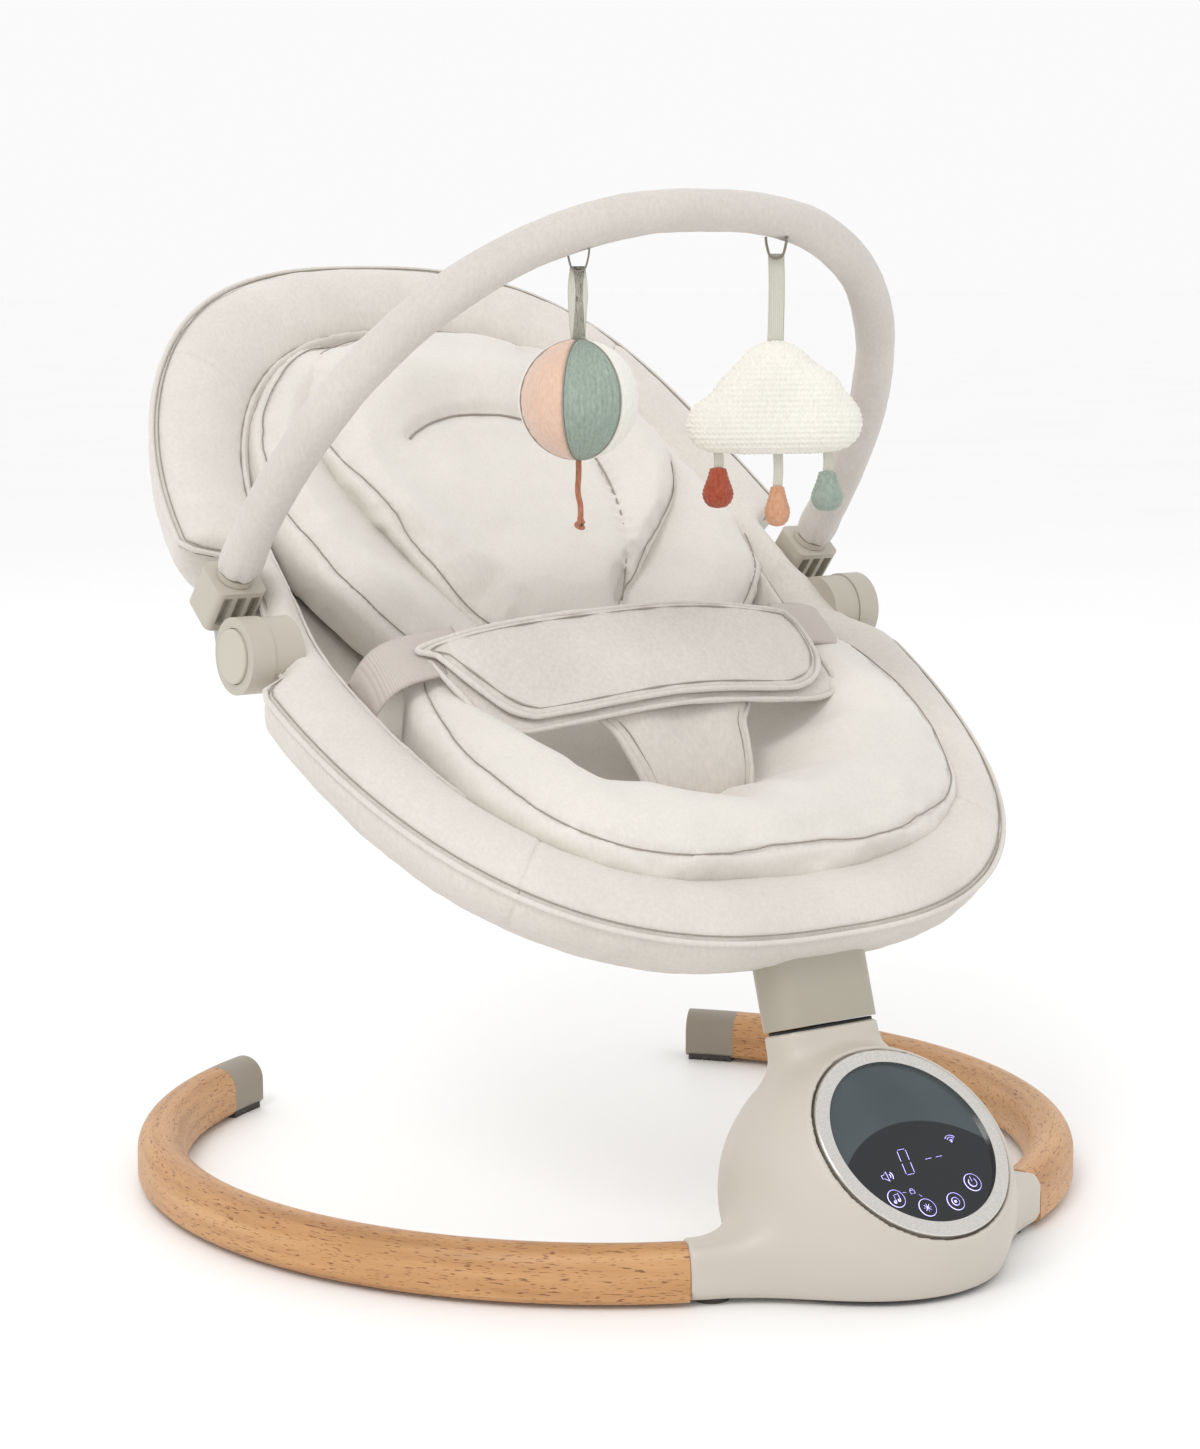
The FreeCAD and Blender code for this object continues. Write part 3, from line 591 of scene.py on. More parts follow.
def pad_loops(outline, top, bottom, wall, low):
    """Loops of a boxed pad: bottom centre, side wall, edge, then the top to its centre."""
    middle, at, reach = outline
    way = np.stack((np.cos(at), np.sin(at)), 1)
    loops = []
    for inset, height in ((90, -3), (60, -2), (34, 0), (16, 4), (6, 10), (1.5, 18)):
        xy = middle + way * np.maximum(reach - inset * MM, 0.02 * reach)[:, None]
        h = bottom(xy[:, 0], xy[:, 1]) + height * MM * low
        loops.append(np.column_stack((xy, h)))
    edge = middle + way * reach[:, None]
    edge_top = top(edge[:, 0], edge[:, 1])
    for inset, drop in ((0, 1.0), (-1.5, 0.7), (-2.0, 0.4), (-1.0, 0.15)):
        xy = middle + way * (reach - inset * MM)[:, None]
        loops.append(np.column_stack((xy, edge_top - wall * MM * drop)))
    for inset in (0.8, 3, 6, 10, 15, 21, 28, 36, 45, 55, 66, 78, 91, 105, 120, 136, 153):
        keep = np.maximum(reach - inset * MM, 0.05 * reach * (1 - inset / 200))
        xy = middle + way * keep[:, None]
        round_off = 5.0 * MM * math.exp(-inset / 5)
        loops.append(np.column_stack((xy, top(xy[:, 0], xy[:, 1]) - round_off)))
    return loops


PUFF_PRESSURE, PUFF_CAP, PUFF_FRAMES, PUFF_VOXEL = 3.0, 0.006, 18, 0.005


def puff(piece, pressure, cap):
    """Swell a pad with Cloth, holding every point within cap of where it started."""
    remesh = piece.modifiers.new("remesh", "REMESH")
    remesh.mode = "VOXEL"
    remesh.voxel_size = PUFF_VOXEL
    applied(piece)
    before = points_of(piece)
    cloth = piece.modifiers.new("cloth", "CLOTH")
    cloth.settings.use_pressure = True
    cloth.settings.uniform_pressure_force = pressure
    cloth.settings.effector_weights.gravity = 0.0
    cloth.settings.quality = 4
    cloth.settings.tension_stiffness = 12
    cloth.settings.compression_stiffness = 8
    cloth.settings.bending_stiffness = 0.4
    scene = bpy.context.scene
    for step in range(1, PUFF_FRAMES + 1):
        scene.frame_set(step)
    applied(piece)
    scene.frame_set(1)
    after = points_of(piece)
    shift = after - before
    size = np.linalg.norm(shift, axis=1)
    shift *= (np.minimum(size, cap) / np.maximum(size, 1e-9))[:, None]
    set_points(piece, before + shift)
    return finer(piece)


def seam_groove(piece, path, depth, width):
    gap = distance_to(path, points_of(piece))
    push(piece, -depth * np.exp(-(gap / width) ** 2))


def on_surface(piece, path, lift):
    """Path moved to the nearest skin of a piece and evened out, raised a little."""
    bpy.context.view_layer.update()
    result = []
    for x, s, h in path:
        _, point, normal, _ = piece.closest_point_on_mesh(Vector(on_bucket((x, s, h))))
        result.append(np.array(point + normal * lift))
    result = np.array(result)
    closed = np.linalg.norm(path[0] - path[-1]) < 0.02
    ring = np.vstack((result[-3:], result, result[:3])) if closed else np.vstack(
        (result[[0] * 3], result, result[[-1] * 3]))
    kernel = np.ones(7) / 7
    return np.column_stack([np.convolve(ring[:, k], kernel, "valid") for k in range(3)])


LOW_OUTLINE = ((-268, -40, 50), (-262, -78, 96), (-243, -118, 140), (-212, -146, 171), (-170, -163, 190),
               (-125, -167, 198), (-85, -162, 194), (-48, -146, 176), (-22, -108, 130), (-12, -50, 60))
WING_OUTLINE = ((-10, -84, 118), (4, -116, 150), (32, -141, 180), (75, -156, 194), (125, -162, 196),
                (175, -156, 188), (220, -138, 168), (258, -104, 132), (280, -58, 78))
SHIELD_OUTLINE = ((3, -40, 44), (22, -64, 62), (48, -78, 92), (78, -88, 122), (104, -96, 146),
                  (135, -105, 163), (165, -111, 170), (195, -112, 167), (225, -106, 153), (252, -90, 130),
                  (272, -64, 98), (283, -28, 54))


def low_top(x, s):
    """Height of the lower insert: a broad front roll round a lumpy hollow."""
    away = np.hypot((x - 0.003) / 0.134, (s + 0.080) / 0.131)
    turn = np.arctan2(s + 0.080, x - 0.003)
    lumps = 0.035 * np.sin(9 * turn + 0.6) + 0.02 * np.sin(17 * turn)
    roll = smooth(away + lumps, 0.54, 1.12)
    crown = 0.004 * np.sin(np.pi * np.clip((away - 1) / 1.1, 0, 1))
    return -0.030 + 0.052 * roll + crown - 0.008 * smooth(s, -0.07, -0.01)


def low_bottom(x, s):
    return np.full(np.shape(x), -0.044)


def wing_top(x, s):
    away = np.hypot((x - 0.008) / 0.15, (s - 0.12) / 0.2)
    return -0.014 + 0.026 * smooth(away, 0.45, 1.15) - 0.01 * smooth(s, 0.05, -0.01)


def wing_bottom(x, s):
    return np.full(np.shape(x), -0.042)


PANEL_MIDDLE, PANEL_SPRING, PANEL_RISE, PANEL_FOOT = 0.020, 0.13, 0.068, 0.012


def panel_half(s):
    """Half width of the back panel, narrower towards the seat."""
    return 0.045 + 0.042 * smooth(s, 0.0, 0.16)


def panel_edge(x, s):
    """Signed distance-like measure of the back panel: below 0 inside its arched seam."""
    side = np.abs(x - PANEL_MIDDLE) / panel_half(s)
    cap = np.maximum(s - PANEL_SPRING, 0) / PANEL_RISE
    return np.hypot(side, cap) - 1


def shield_top(x, s):
    edge = panel_edge(x, s)
    pillow = np.exp(-((edge - 0.42) / 0.42) ** 2) * smooth(s, 0.02, 0.14)
    return 0.008 + 0.017 * pillow + 0.004 * smooth(edge, 0.0, -0.8) - 0.008 * smooth(s, 0.06, 0.0)


def shield_bottom(x, s):
    return wing_top(x, s) - 0.006


def edge_line(outline, top, inset):
    middle, at, reach = outline
    way = np.stack((np.cos(at), np.sin(at)), 1)
    xy = middle + way * (reach - inset)[:, None]
    return np.column_stack((xy, top(xy[:, 0], xy[:, 1])))


def make_inserts():
    pads = (
        ("seat_insert", LOW_OUTLINE, (14, -140), low_top, low_bottom, 26, 0.6, "seat", "seat_pad"),
        ("back_insert_wings", WING_OUTLINE, (10, 125), wing_top, wing_bottom, 26, 0.6, "backrest",
         "back_pad"),
        ("back_insert_shield", SHIELD_OUTLINE, (26, 150), shield_top, shield_bottom, 20, 0.4, "backrest",
         "head_pillow"),
    )
    for name, table, centre, top, bottom, wall, low, body, node in pads:
        outline = outline_of(table, centre)
        loops = [on_bucket(loop) for loop in pad_loops(outline, top, bottom, wall, low)]
        piece = mesh_piece(name, [(*skin(loops), 0)], [INSERT, SEAM_THREAD_AND_SHADE])
        puff(piece, PUFF_PRESSURE, PUFF_CAP)
        edge = edge_line(outline, top, 3 * MM)
        seam_groove(piece, on_surface(piece, edge, 0.0), 1.6 * MM, 2.6 * MM)
        if name == "back_insert_shield":
            arc = panel_path(np.linspace(-0.55, 1.0, 90))
            seam_groove(piece, on_surface(piece, arc, 0.0), 4.5 * MM, 6 * MM)
        world = points_of(piece)
        push(piece, MM * (0.9 * ripple(world, 21, 2.0) + 0.35 * ripple(world, 60, 5.0)))
        # Thin dark line in the seam groove: partly the seam's thread, partly painted shade of the groove.
        line = on_surface(piece, edge, 0.7 * MM)
        trims = [(*tube(line, 0.5 * MM, 5, True), 1)]
        if name == "back_insert_shield":
            trims.append((*tube(on_surface(piece, arc, 0.9 * MM), 0.7 * MM, 5), 1))
        trim = mesh_piece(name + "_seam", trims, [INSERT, SEAM_THREAD_AND_SHADE])
        declare(piece, "insert_fabric", body, node, fill=0.6)
        declare(trim, "insert_fabric", body)


def panel_path(steps):
    """Arched seam of the back panel, from -1 at the arch's left to 1 at the panel's foot."""
    leave = 0.75
    corner = PANEL_SPRING + PANEL_RISE * math.cos(np.pi / 2 * leave)
    rows = []
    for step in steps:
        if step < leave:
            s = PANEL_SPRING + PANEL_RISE * math.cos(np.pi / 2 * step)
            out = math.sin(np.pi / 2 * step)
        else:
            share = (step - leave) / (1 - leave)
            s = corner * (1 - share) + PANEL_FOOT * share
            cap = max(s - PANEL_SPRING, 0) / PANEL_RISE
            out = math.sqrt(max(0, 1 - cap * cap))
        rows.append((PANEL_MIDDLE + float(panel_half(s)) * out, s, 0.006))
    return np.array(rows)


# ---- harness
def slab(ring, middle, lift, thickness):
    """Thin closed layer of the band from a 2D outline, lifted off the band's own height."""
    loops = []
    for side, shares in ((-1, (0.02, 0.3, 0.6, 0.85, 0.97)), (0, (1.0,)), (1, (0.97, 0.85, 0.6, 0.3, 0.02))):
        for share in shares:
            xy = middle + (ring - middle) * share
            h = band_height(*xy.T) + lift + side * thickness / 2
            loops.append(np.column_stack((xy, h)))
    return loops


BAND_TOP = ((-150, -3), (-60, -7), (40, -6), (118, -5), (130, -1), (134, 12), (132, 34), (122, 51),
            (104, 62), (80, 66), (0, 67), (-92, 68), (-112, 65), (-126, 52), (-138, 28), (-146, 8))
BAND_UNDER = ((-149, -2), (-60, -5), (60, -5), (122, -3), (136, 6), (140, 30), (139, 56), (118, 68),
              (80, 71), (0, 72), (-84, 73), (-118, 72), (-134, 60), (-143, 34), (-148, 10))


def band_height(x, y):
    bow = 0.017 * (1 - (x / 0.146) ** 2)
    return bow - 0.002 * smooth(y, 0.03, 0.075) + 0.0012 * np.sin(x * 38 + y * 20)


def make_band():
    """The folded tummy band: two piped layers, the upper one with a dark stitch line, partly painted seam
    shade.
    """
    parts = []
    middle = np.array((-0.006, 0.031))
    for outline, drop, thickness in ((BAND_TOP, 0.0, 5.5), (BAND_UNDER, -5.2, 4.0)):
        ring = np.array(outline, float) * MM
        closed = spline(np.vstack((ring[-2:], ring, ring[:3])), 400)
        per = len(closed) / (len(ring) + 4)
        loop = closed[int(2 * per):int((len(ring) + 2) * per)]
        layer = slab(loop, middle, drop * MM, thickness * MM)
        parts.append((*skin([on_band(row) for row in layer]), 0))
        edge = np.column_stack((loop, band_height(*loop.T) + (drop + 1.2) * MM))
        parts.append((*tube(on_band(edge), 2.0 * MM, 8, True), 0))
        if outline is BAND_TOP:
            # Dark stitch line: partly thread, partly painted seam shade.
            inner = middle + (loop - middle) * (0.955, 0.88)
            line = np.column_stack((inner, band_height(*inner.T) + (drop + thickness / 2 + 0.35) * MM))
            parts.append((*tube(on_band(line), 0.45 * MM, 5, True), 1))
    band = mesh_piece("tummy_band_cloth", parts, [BAND_CLOTH, SEAM_THREAD_AND_SHADE])
    finer(band)
    push(band, 0.3 * MM * ripple(points_of(band), 55, 6.0))
    declare(band, "band_fabric", "seat", "tummy_band", fill=0.5)


def make_crotch_strap():
    rows = ((30, 4, 0, 60), (50, 4.5, 0, 62), (62, 4, 0, 61), (70, 3, 0, 56), (80, 0, 0, 49),
            (95, -6, 2, 45), (109, -14, 4, 41), (119, -24, 5, 38), (126, -36, 6, 36), (130, -48, 6, 35))
    route = spline(np.array(rows, float), 60) * MM
    loops = []
    across = np.linspace(-1, 1, 25)
    for y, z, middle, half in route:
        droop = 0.004 * across ** 4 + 0.0015 * np.cos(across * 5)
        upper = np.column_stack((middle + half * across, np.full(25, y), z - droop + 0.002))
        lower = upper[::-1] - (0, 0, 0.004)
        loops.append(on_band(np.vstack((upper, lower))))
    strap_parts = [(*skin(loops), 0)]
    for side, radius in ((-1, 2.6), (1, 2.2)):
        edge = np.column_stack((route[:, 2] + side * route[:, 3], route[:, 0], route[:, 1] - 0.003))
        strap_parts.append((*tube(on_band(edge), radius * MM, 8), 0))
        # Dark stitch lines near the strap's edges: partly thread, partly painted shade of the stitch dip.
        stitch_x = route[:, 2] + side * (route[:, 3] - 0.006)
        stitch = np.column_stack((stitch_x, route[:, 0], route[:, 1] + 0.0004))
        strap_parts.append((*tube(on_band(stitch), 0.35 * MM, 5), 1))
    crotch = mesh_piece("crotch_strap_cloth", strap_parts, [BAND_CLOTH, SEAM_THREAD_AND_SHADE])
    finer(crotch)
    push(crotch, 0.25 * MM * ripple(points_of(crotch), 60, 9.0))
    declare(crotch, "band_fabric", "seat", "crotch_strap", fill=0.4)


def make_side_straps():
    """Webbing from the band's ends down behind the inserts."""
    for name, sign in (("left", -1), ("right", 1)):
        way = ((124, 0), (138, -2.6), (153, -4.6), (167, -9), (176, -17), (180, -29), (181, -44))
        line = spline(np.array(way, float), 40) * MM
        loops = []
        for (x, z), slope in zip(line, np.gradient(line, axis=0)):
            normal = np.array((-slope[1], slope[0])) / np.linalg.norm(slope)
            ys = np.linspace(-0.017, 0.019, 13)
            bow = 0.0006 * np.cos(np.linspace(-1.5, 1.5, 13))
            top = [(sign * (x + normal[0] * b), y, z + normal[1] * b + 0.0011) for y, b in zip(ys, bow)]
            under = [(px, py, pz - 0.0022) for px, py, pz in reversed(top)]
            loops.append(on_band(top + under))
        strap = mesh_piece("side_strap_webbing_" + name, [(*skin(loops), 0)], [TAPE])
        declare(strap, "webbing", "seat", "side_strap_" + name)


# ---- toy bar
ARCH_W, ARCH_H, ARCH_POWER = 0.228, 0.288, 2.3


def arch_path(count, start=0.004):
    turn = np.linspace(0, math.pi, count)
    x = ARCH_W * signed_power(np.cos(turn), 2 / ARCH_POWER)
    y = np.maximum(ARCH_H * np.abs(np.sin(turn)) ** (2 / ARCH_POWER), start)
    return out_of(ARCH, np.column_stack((x, y, np.zeros(count))))


def arch_at(x):
    share = 1 - (abs(x) / ARCH_W) ** ARCH_POWER
    return out_of(ARCH, (x, ARCH_H * share ** (1 / ARCH_POWER), 0))


def make_sleeve():
    path = arch_path(260)
    length = np.concatenate(([0], np.cumsum(np.linalg.norm(np.diff(path, axis=0), axis=1))))
    near = np.minimum(length, length[-1] - length)
    sides = 40
    radius = 13.2 * MM + 0.7 * MM * np.exp(-((near - 0.012) / 0.006) ** 2)
    points, faces = tube(path, radius, sides)
    body = points[:len(path) * sides].reshape(len(path), sides, 3)
    angles = np.linspace(0, 2 * math.pi, sides, endpoint=False)
    gather = np.exp(-near / 0.011)
    for i, ring in enumerate(body):
        folds = 0.9 * np.sin(7 * angles + 1.0) + 0.5 * np.sin(13 * angles)
        out = ring - path[i]
        size = np.linalg.norm(out, axis=1)[:, None]
        ring += out / size * (gather[i] * folds * MM - 1.5 * MM * math.exp(-near[i] / 0.002))[:, None]
    points[:len(path) * sides] = body.reshape(-1, 3)
    piece = mesh_piece("toy_bar_sleeve_cloth", [(points, faces, 0)], [SLEEVE, SEAM_THREAD_AND_SHADE])
    finer(piece)
    world = points_of(piece)
    push(piece, MM * (0.4 * ripple(world, 26, 7.0) + 0.15 * ripple(world, 90, 2.0)))
    declare(piece, "sleeve_fabric", "toy_bar", "toy_bar_sleeve")


def ribbon(route, width, thickness, across):
    """Flat tape along a route, its width lying along the given direction."""
    route = np.asarray(route, float)
    across = np.asarray(across, float)
    loops = []
    for point, ahead in zip(route, np.gradient(route, axis=0)):
        flat = np.cross(ahead / np.linalg.norm(ahead), across)
        flat /= np.linalg.norm(flat)
        edge = point + np.linspace(-0.5, 0.5, 9)[:, None] * width * across
        loops.append(np.vstack((edge + flat * thickness / 2, (edge - flat * thickness / 2)[::-1])))
    return skin(loops)


BALL_X, BALL_DROP, BALL_R = -0.088, 0.101, 0.036
CLOUD_X, CLOUD_DROP = 0.056, 0.112
SLEEVE_R = 0.0134
STRAP_TOP = SLEEVE_R + 0.0088
LOOP_SIDE = np.array((0.82, -0.57, 0.0))
LOOP_FLAT = np.array((0.57, 0.82, 0.0))


def make_loops():
    """Short loops that come out of the sleeve's underside, which the toys hang from."""
    parts = []
    half = ((6.5, 1.5), (6.0, -3.0), (4.2, -9.5), (1.5, -11.6))
    ends = half + tuple((-a, b) for a, b in reversed(half))
    for x in (BALL_X, CLOUD_X):
        low = arch_at(x) - (0, 0, SLEEVE_R)
        route = [low + LOOP_SIDE * a * MM + (0, 0, b * MM) for a, b in ends]
        parts.append((*ribbon(spline(route, 60), 9 * MM, 1.2 * MM, LOOP_FLAT), 0))
    piece = mesh_piece("toy_keepers", parts, [KEEPER])
    declare(piece, "toy_ribbon", "toy_bar", "toy_loops")


# ---- toys
def knit(points, normals, across, up, amount, stitch, row):
    """Push points out into rows of V stitches."""
    lean = np.abs(((across / stitch) % 1) - 0.5) * 2
    column = np.abs(np.sin(math.pi * across / stitch))
    wave = 0.5 + 0.5 * np.cos(2 * math.pi * (up / row + 0.55 * lean))
    return points + normals * (amount * (0.65 * column ** 0.6 + 0.5 * wave - 0.6))[:, None]


GORE_START, GORE = math.radians(-140), math.pi / 3
GORE_MATERIALS = (1, 2, 0, 1, 2, 0)
KNITTED_GORES = (0, 3)


def on_ball(turn, lat):
    """Unit directions at the given turn about the upright axis and latitude."""
    turn, lat = np.broadcast_arrays(turn, lat)
    return np.column_stack((np.cos(turn) * np.cos(lat), np.sin(turn) * np.cos(lat), np.sin(lat)))


def make_ball():
    centre = arch_at(BALL_X) - (0, 0, BALL_DROP)
    turn = np.linspace(0, 2 * math.pi, 300, endpoint=False)
    loops = []
    for lat in np.linspace(-math.pi / 2 + 0.03, math.pi / 2 - 0.03, 120):
        share = ((turn - GORE_START) % GORE) / GORE
        gap = np.minimum(share, 1 - share) * GORE * math.cos(lat) * BALL_R
        r = BALL_R - 1.0 * MM * np.exp(-(gap / 0.0016) ** 2)
        loops.append(centre + r[:, None] * on_ball(turn, lat))
    points, faces = skin(loops)
    piece = mesh_piece("plush_ball_cloth", [(points, faces, 0)], [PEACH_PLUSH, SAGE_KNIT, WHITE_PLUSH])
    for face in piece.data.polygons:
        offset = face.center - Vector(centre)
        place = (math.atan2(offset.y, offset.x) - GORE_START) % (2 * math.pi)
        face.material_index = GORE_MATERIALS[int(place / GORE) % 6]
    world = points_of(piece)
    offset = world - centre
    place = (np.arctan2(offset[:, 1], offset[:, 0]) - GORE_START) % (2 * math.pi)
    is_knit = np.isin((place / GORE).astype(int) % 6, KNITTED_GORES)
    lat = np.arcsin(np.clip(offset[:, 2] / BALL_R, -1, 1))
    knitted = knit(world, offset / BALL_R, place * BALL_R * 0.86, lat * BALL_R, 1.1 * MM, 3.0 * MM, 2.5 * MM)
    fuzz = 0.25 * MM * ripple(world, 240, 3.0)
    plush = world + offset / BALL_R * fuzz[:, None]
    set_points(piece, np.where(is_knit[:, None], knitted, plush))
    # Dark lines in the dents between the gores: partly seam thread, partly painted seam shade.
    seams = []
    for k in range(6):
        line = centre + (BALL_R - 0.35 * MM) * on_ball(GORE_START + k * GORE, np.linspace(-1.5, 1.5, 50))
        seams.append((*tube(line, 0.5 * MM, 6), 0))
    trim = mesh_piece("plush_ball_seams", seams, [SEAM_THREAD_AND_SHADE])
    declare(piece, "ball_knit", "ball_toy", "plush_ball", fill=1.0)
    declare(trim, "ball_knit", "ball_toy")


def make_ball_strap():
    """Doubled ribbon whose two legs part a little below the loop."""
    top = arch_at(BALL_X)
    legs = []
    for way in (-1, 1):
        steps = ((STRAP_TOP, 0.5), (SLEEVE_R + 0.024, 1.9), (BALL_DROP - BALL_R - 0.008, 0.9),
                 (BALL_DROP - BALL_R + 0.0005, 0))
        route = [top - (0, 0, drop) + LOOP_SIDE * apart * MM * way for drop, apart in steps]
        legs.append((*ribbon(spline(route, 30), 9 * MM, 0.8 * MM, LOOP_SIDE * (1 - 0.1 * way) / 1.1), 0))
    strap = mesh_piece("ball_strap_ribbon", legs, [RIBBON])
    declare(strap, "toy_ribbon", "ball_toy", "ball_strap")


def make_ball_tail():
    """The braided tail below the ball, ending in a knot."""
    route = ((0, 0, 0), (0.6, 0.5, -9), (-0.9, 0.2, -19), (1.6, -0.8, -29), (0.8, -0.4, -37))
    exit_point = arch_at(BALL_X) - (0, 0, BALL_DROP + BALL_R)
    curve = bpy.data.curves.new("ball_tail_braid", "CURVE")
    curve.dimensions = "3D"
    curve.bevel_depth = 0.0018
    curve.bevel_resolution = 4
    curve.resolution_u = 12
    line = curve.splines.new("NURBS")
    line.points.add(len(route) - 1)
    for point, offset in zip(line.points, route):
        point.co = (*(exit_point + np.array(offset) * MM), 1)
    line.order_u = 3
    line.use_endpoint_u = True
    curve.use_fill_caps = True
    curve.materials.append(TAIL_CORD)
    tail = linked(bpy.data.objects.new("ball_tail_braid", curve))
    end = exit_point + np.array(route[-1]) * MM
    turn = np.linspace(0, 4 * math.pi, 60)
    knot_line = end + np.column_stack((0.0018 * np.cos(turn), 0.0018 * np.sin(turn * 1.5),
                                       0.0016 * np.sin(turn) + 0.001 - 0.0035 * turn / 12))
    knot = mesh_piece("ball_tail_knot", [(*tube(knot_line, 1.1 * MM, 8), 0)], [TAIL_CORD])
    declare(tail, "tail_cord", "ball_toy", "ball_tail")
    declare(knot, "tail_cord", "ball_toy")


def surface_net(values, corner, step):
    """Quads on the zero surface of a grid of signed distances, one point in each crossed cell."""
    sign = values < 0
    shape = np.array(values.shape) - 1
    total = np.zeros(tuple(shape) + (3,))
    count = np.zeros(tuple(shape))
    grid = np.indices(values.shape).transpose(1, 2, 3, 0).astype(float)
    crossings = []
    for axis in range(3):
        low = [slice(None)] * 3
        high = [slice(None)] * 3
        low[axis], high[axis] = slice(0, -1), slice(1, None)
        a, b = values[tuple(low)], values[tuple(high)]
        cross = sign[tuple(low)] != sign[tuple(high)]
        t = np.where(cross, a / np.where(cross, a - b, 1), 0)
        place = grid[tuple(low)].copy()
        place[..., axis] += t
        crossings.append((cross, sign[tuple(low)]))
        others = [k for k in range(3) if k != axis]
        for i in (0, 1):
            for j in (0, 1):
                part = [slice(None)] * 3
                part[others[0]] = slice(i, values.shape[others[0]] - 1 + i)
                part[others[1]] = slice(j, values.shape[others[1]] - 1 + j)
                total += np.where(cross[tuple(part)][..., None], place[tuple(part)], 0)
                count += cross[tuple(part)]
    used = count > 0
    number = np.full(tuple(shape), -1)
    number[used] = np.arange(used.sum())
    points = corner + step * total[used] / count[used][:, None]
    faces = []
    for axis in range(3):
        cross, inside = crossings[axis]
        u, v = [k for k in range(3) if k != axis]
        at = np.argwhere(cross)
        keep = (at[:, u] > 0) & (at[:, v] > 0) & (at[:, u] < shape[u]) & (at[:, v] < shape[v])
        at = at[keep]
        du, dv = np.eye(3, dtype=int)[u], np.eye(3, dtype=int)[v]
        quad = [number[tuple((at - a * du - b * dv).T)] for a, b in ((0, 0), (1, 0), (1, 1), (0, 1))]
        flip = inside[tuple(at.T)] ^ (axis == 1)
        for q, f in zip(np.stack(quad, 1), flip):
            if q.min() >= 0:
                faces.append(tuple(q) if f else tuple(q[::-1]))
    return points, faces


def soft_min(a, b, k):
    h = np.clip(0.5 + 0.5 * (b - a) / k, 0, 1)
    return b * (1 - h) + a * h - k * h * (1 - h)


def grid_of(low, high, step):
    axes = [np.arange(a, b + step, step) for a, b in zip(low, high)]
    return np.stack(np.meshgrid(*axes, indexing="ij"), -1)


# Round lobes that melt into the cloud, as (x, z, radius) in mm.
CLOUD_LOBES = ((0, 10, 27), (-20, -1, 20), (24, 1, 20), (-39, -15, 17), (38, -14, 18), (-20, -17, 17),
               (0, -16, 19), (20, -17, 17))


CLOUD_TURN = turned(-24)
CLOUD_FOOT = 0.0335
YARN_STITCH, YARN_ROW = 3.0 * MM, 3.3 * MM


def make_cloud():
    step = 1.3 * MM
    corner = np.array((-0.06, -0.02, -0.042))
    grid = grid_of(corner, (0.062, 0.02, 0.042), step)
    field = None
    for x, z, r in CLOUD_LOBES:
        offset = grid / MM - (x, 0, z)
        offset[..., 1] *= r / 14.5
        ball = (np.linalg.norm(offset, axis=-1) - r) * MM
        field = ball if field is None else soft_min(field, ball, 0.009)
    field = np.maximum(field, -(grid[..., 2] + CLOUD_FOOT))
    points, faces = surface_net(field, corner, step)
    piece = mesh_piece("plush_cloud_cloth", [(points, faces, 0)], [CLOUD_KNIT])
    relax = piece.modifiers.new("relax", "SMOOTH")
    relax.iterations = 3
    applied(piece)
    finer(piece)
    local = points_of(piece)
    normals = normals_of(piece)
    rows = local[:, 2] / YARN_ROW
    wave = np.sin(2 * math.pi * rows + np.sin(2 * math.pi * local[:, 0] / YARN_STITCH))
    stitch = np.cos(2 * math.pi * local[:, 0] / YARN_STITCH + math.pi * np.floor(rows))
    local = local + normals * (0.34 * MM * wave + 0.12 * MM * stitch)[:, None]
    seam = np.exp(-(local[:, 1] / 0.0012) ** 2) * smooth(np.abs(normals[:, 1]), 0.5, 0.1)
    local = local - normals * (0.6 * MM * seam)[:, None]
    top = arch_at(CLOUD_X)
    set_points(piece, local @ CLOUD_TURN.T + top - (0, 0, CLOUD_DROP))
    declare(piece, "cloud_knit", "cloud_toy", "plush_cloud", fill=0.9)
    low = top - (0, 0, CLOUD_DROP - 0.0345)
    high = top - (0, 0, STRAP_TOP)
    across = CLOUD_TURN[:, 0]
    route = spline([high, high * 0.6 + low * 0.4 + across * 0.0006, low], 24)
    strap = mesh_piece("cloud_strap_ribbon", [(*ribbon(route, 10 * MM, 1.4 * MM, across), 0)], [RIBBON])
    declare(strap, "toy_ribbon", "cloud_toy", "cloud_strap")


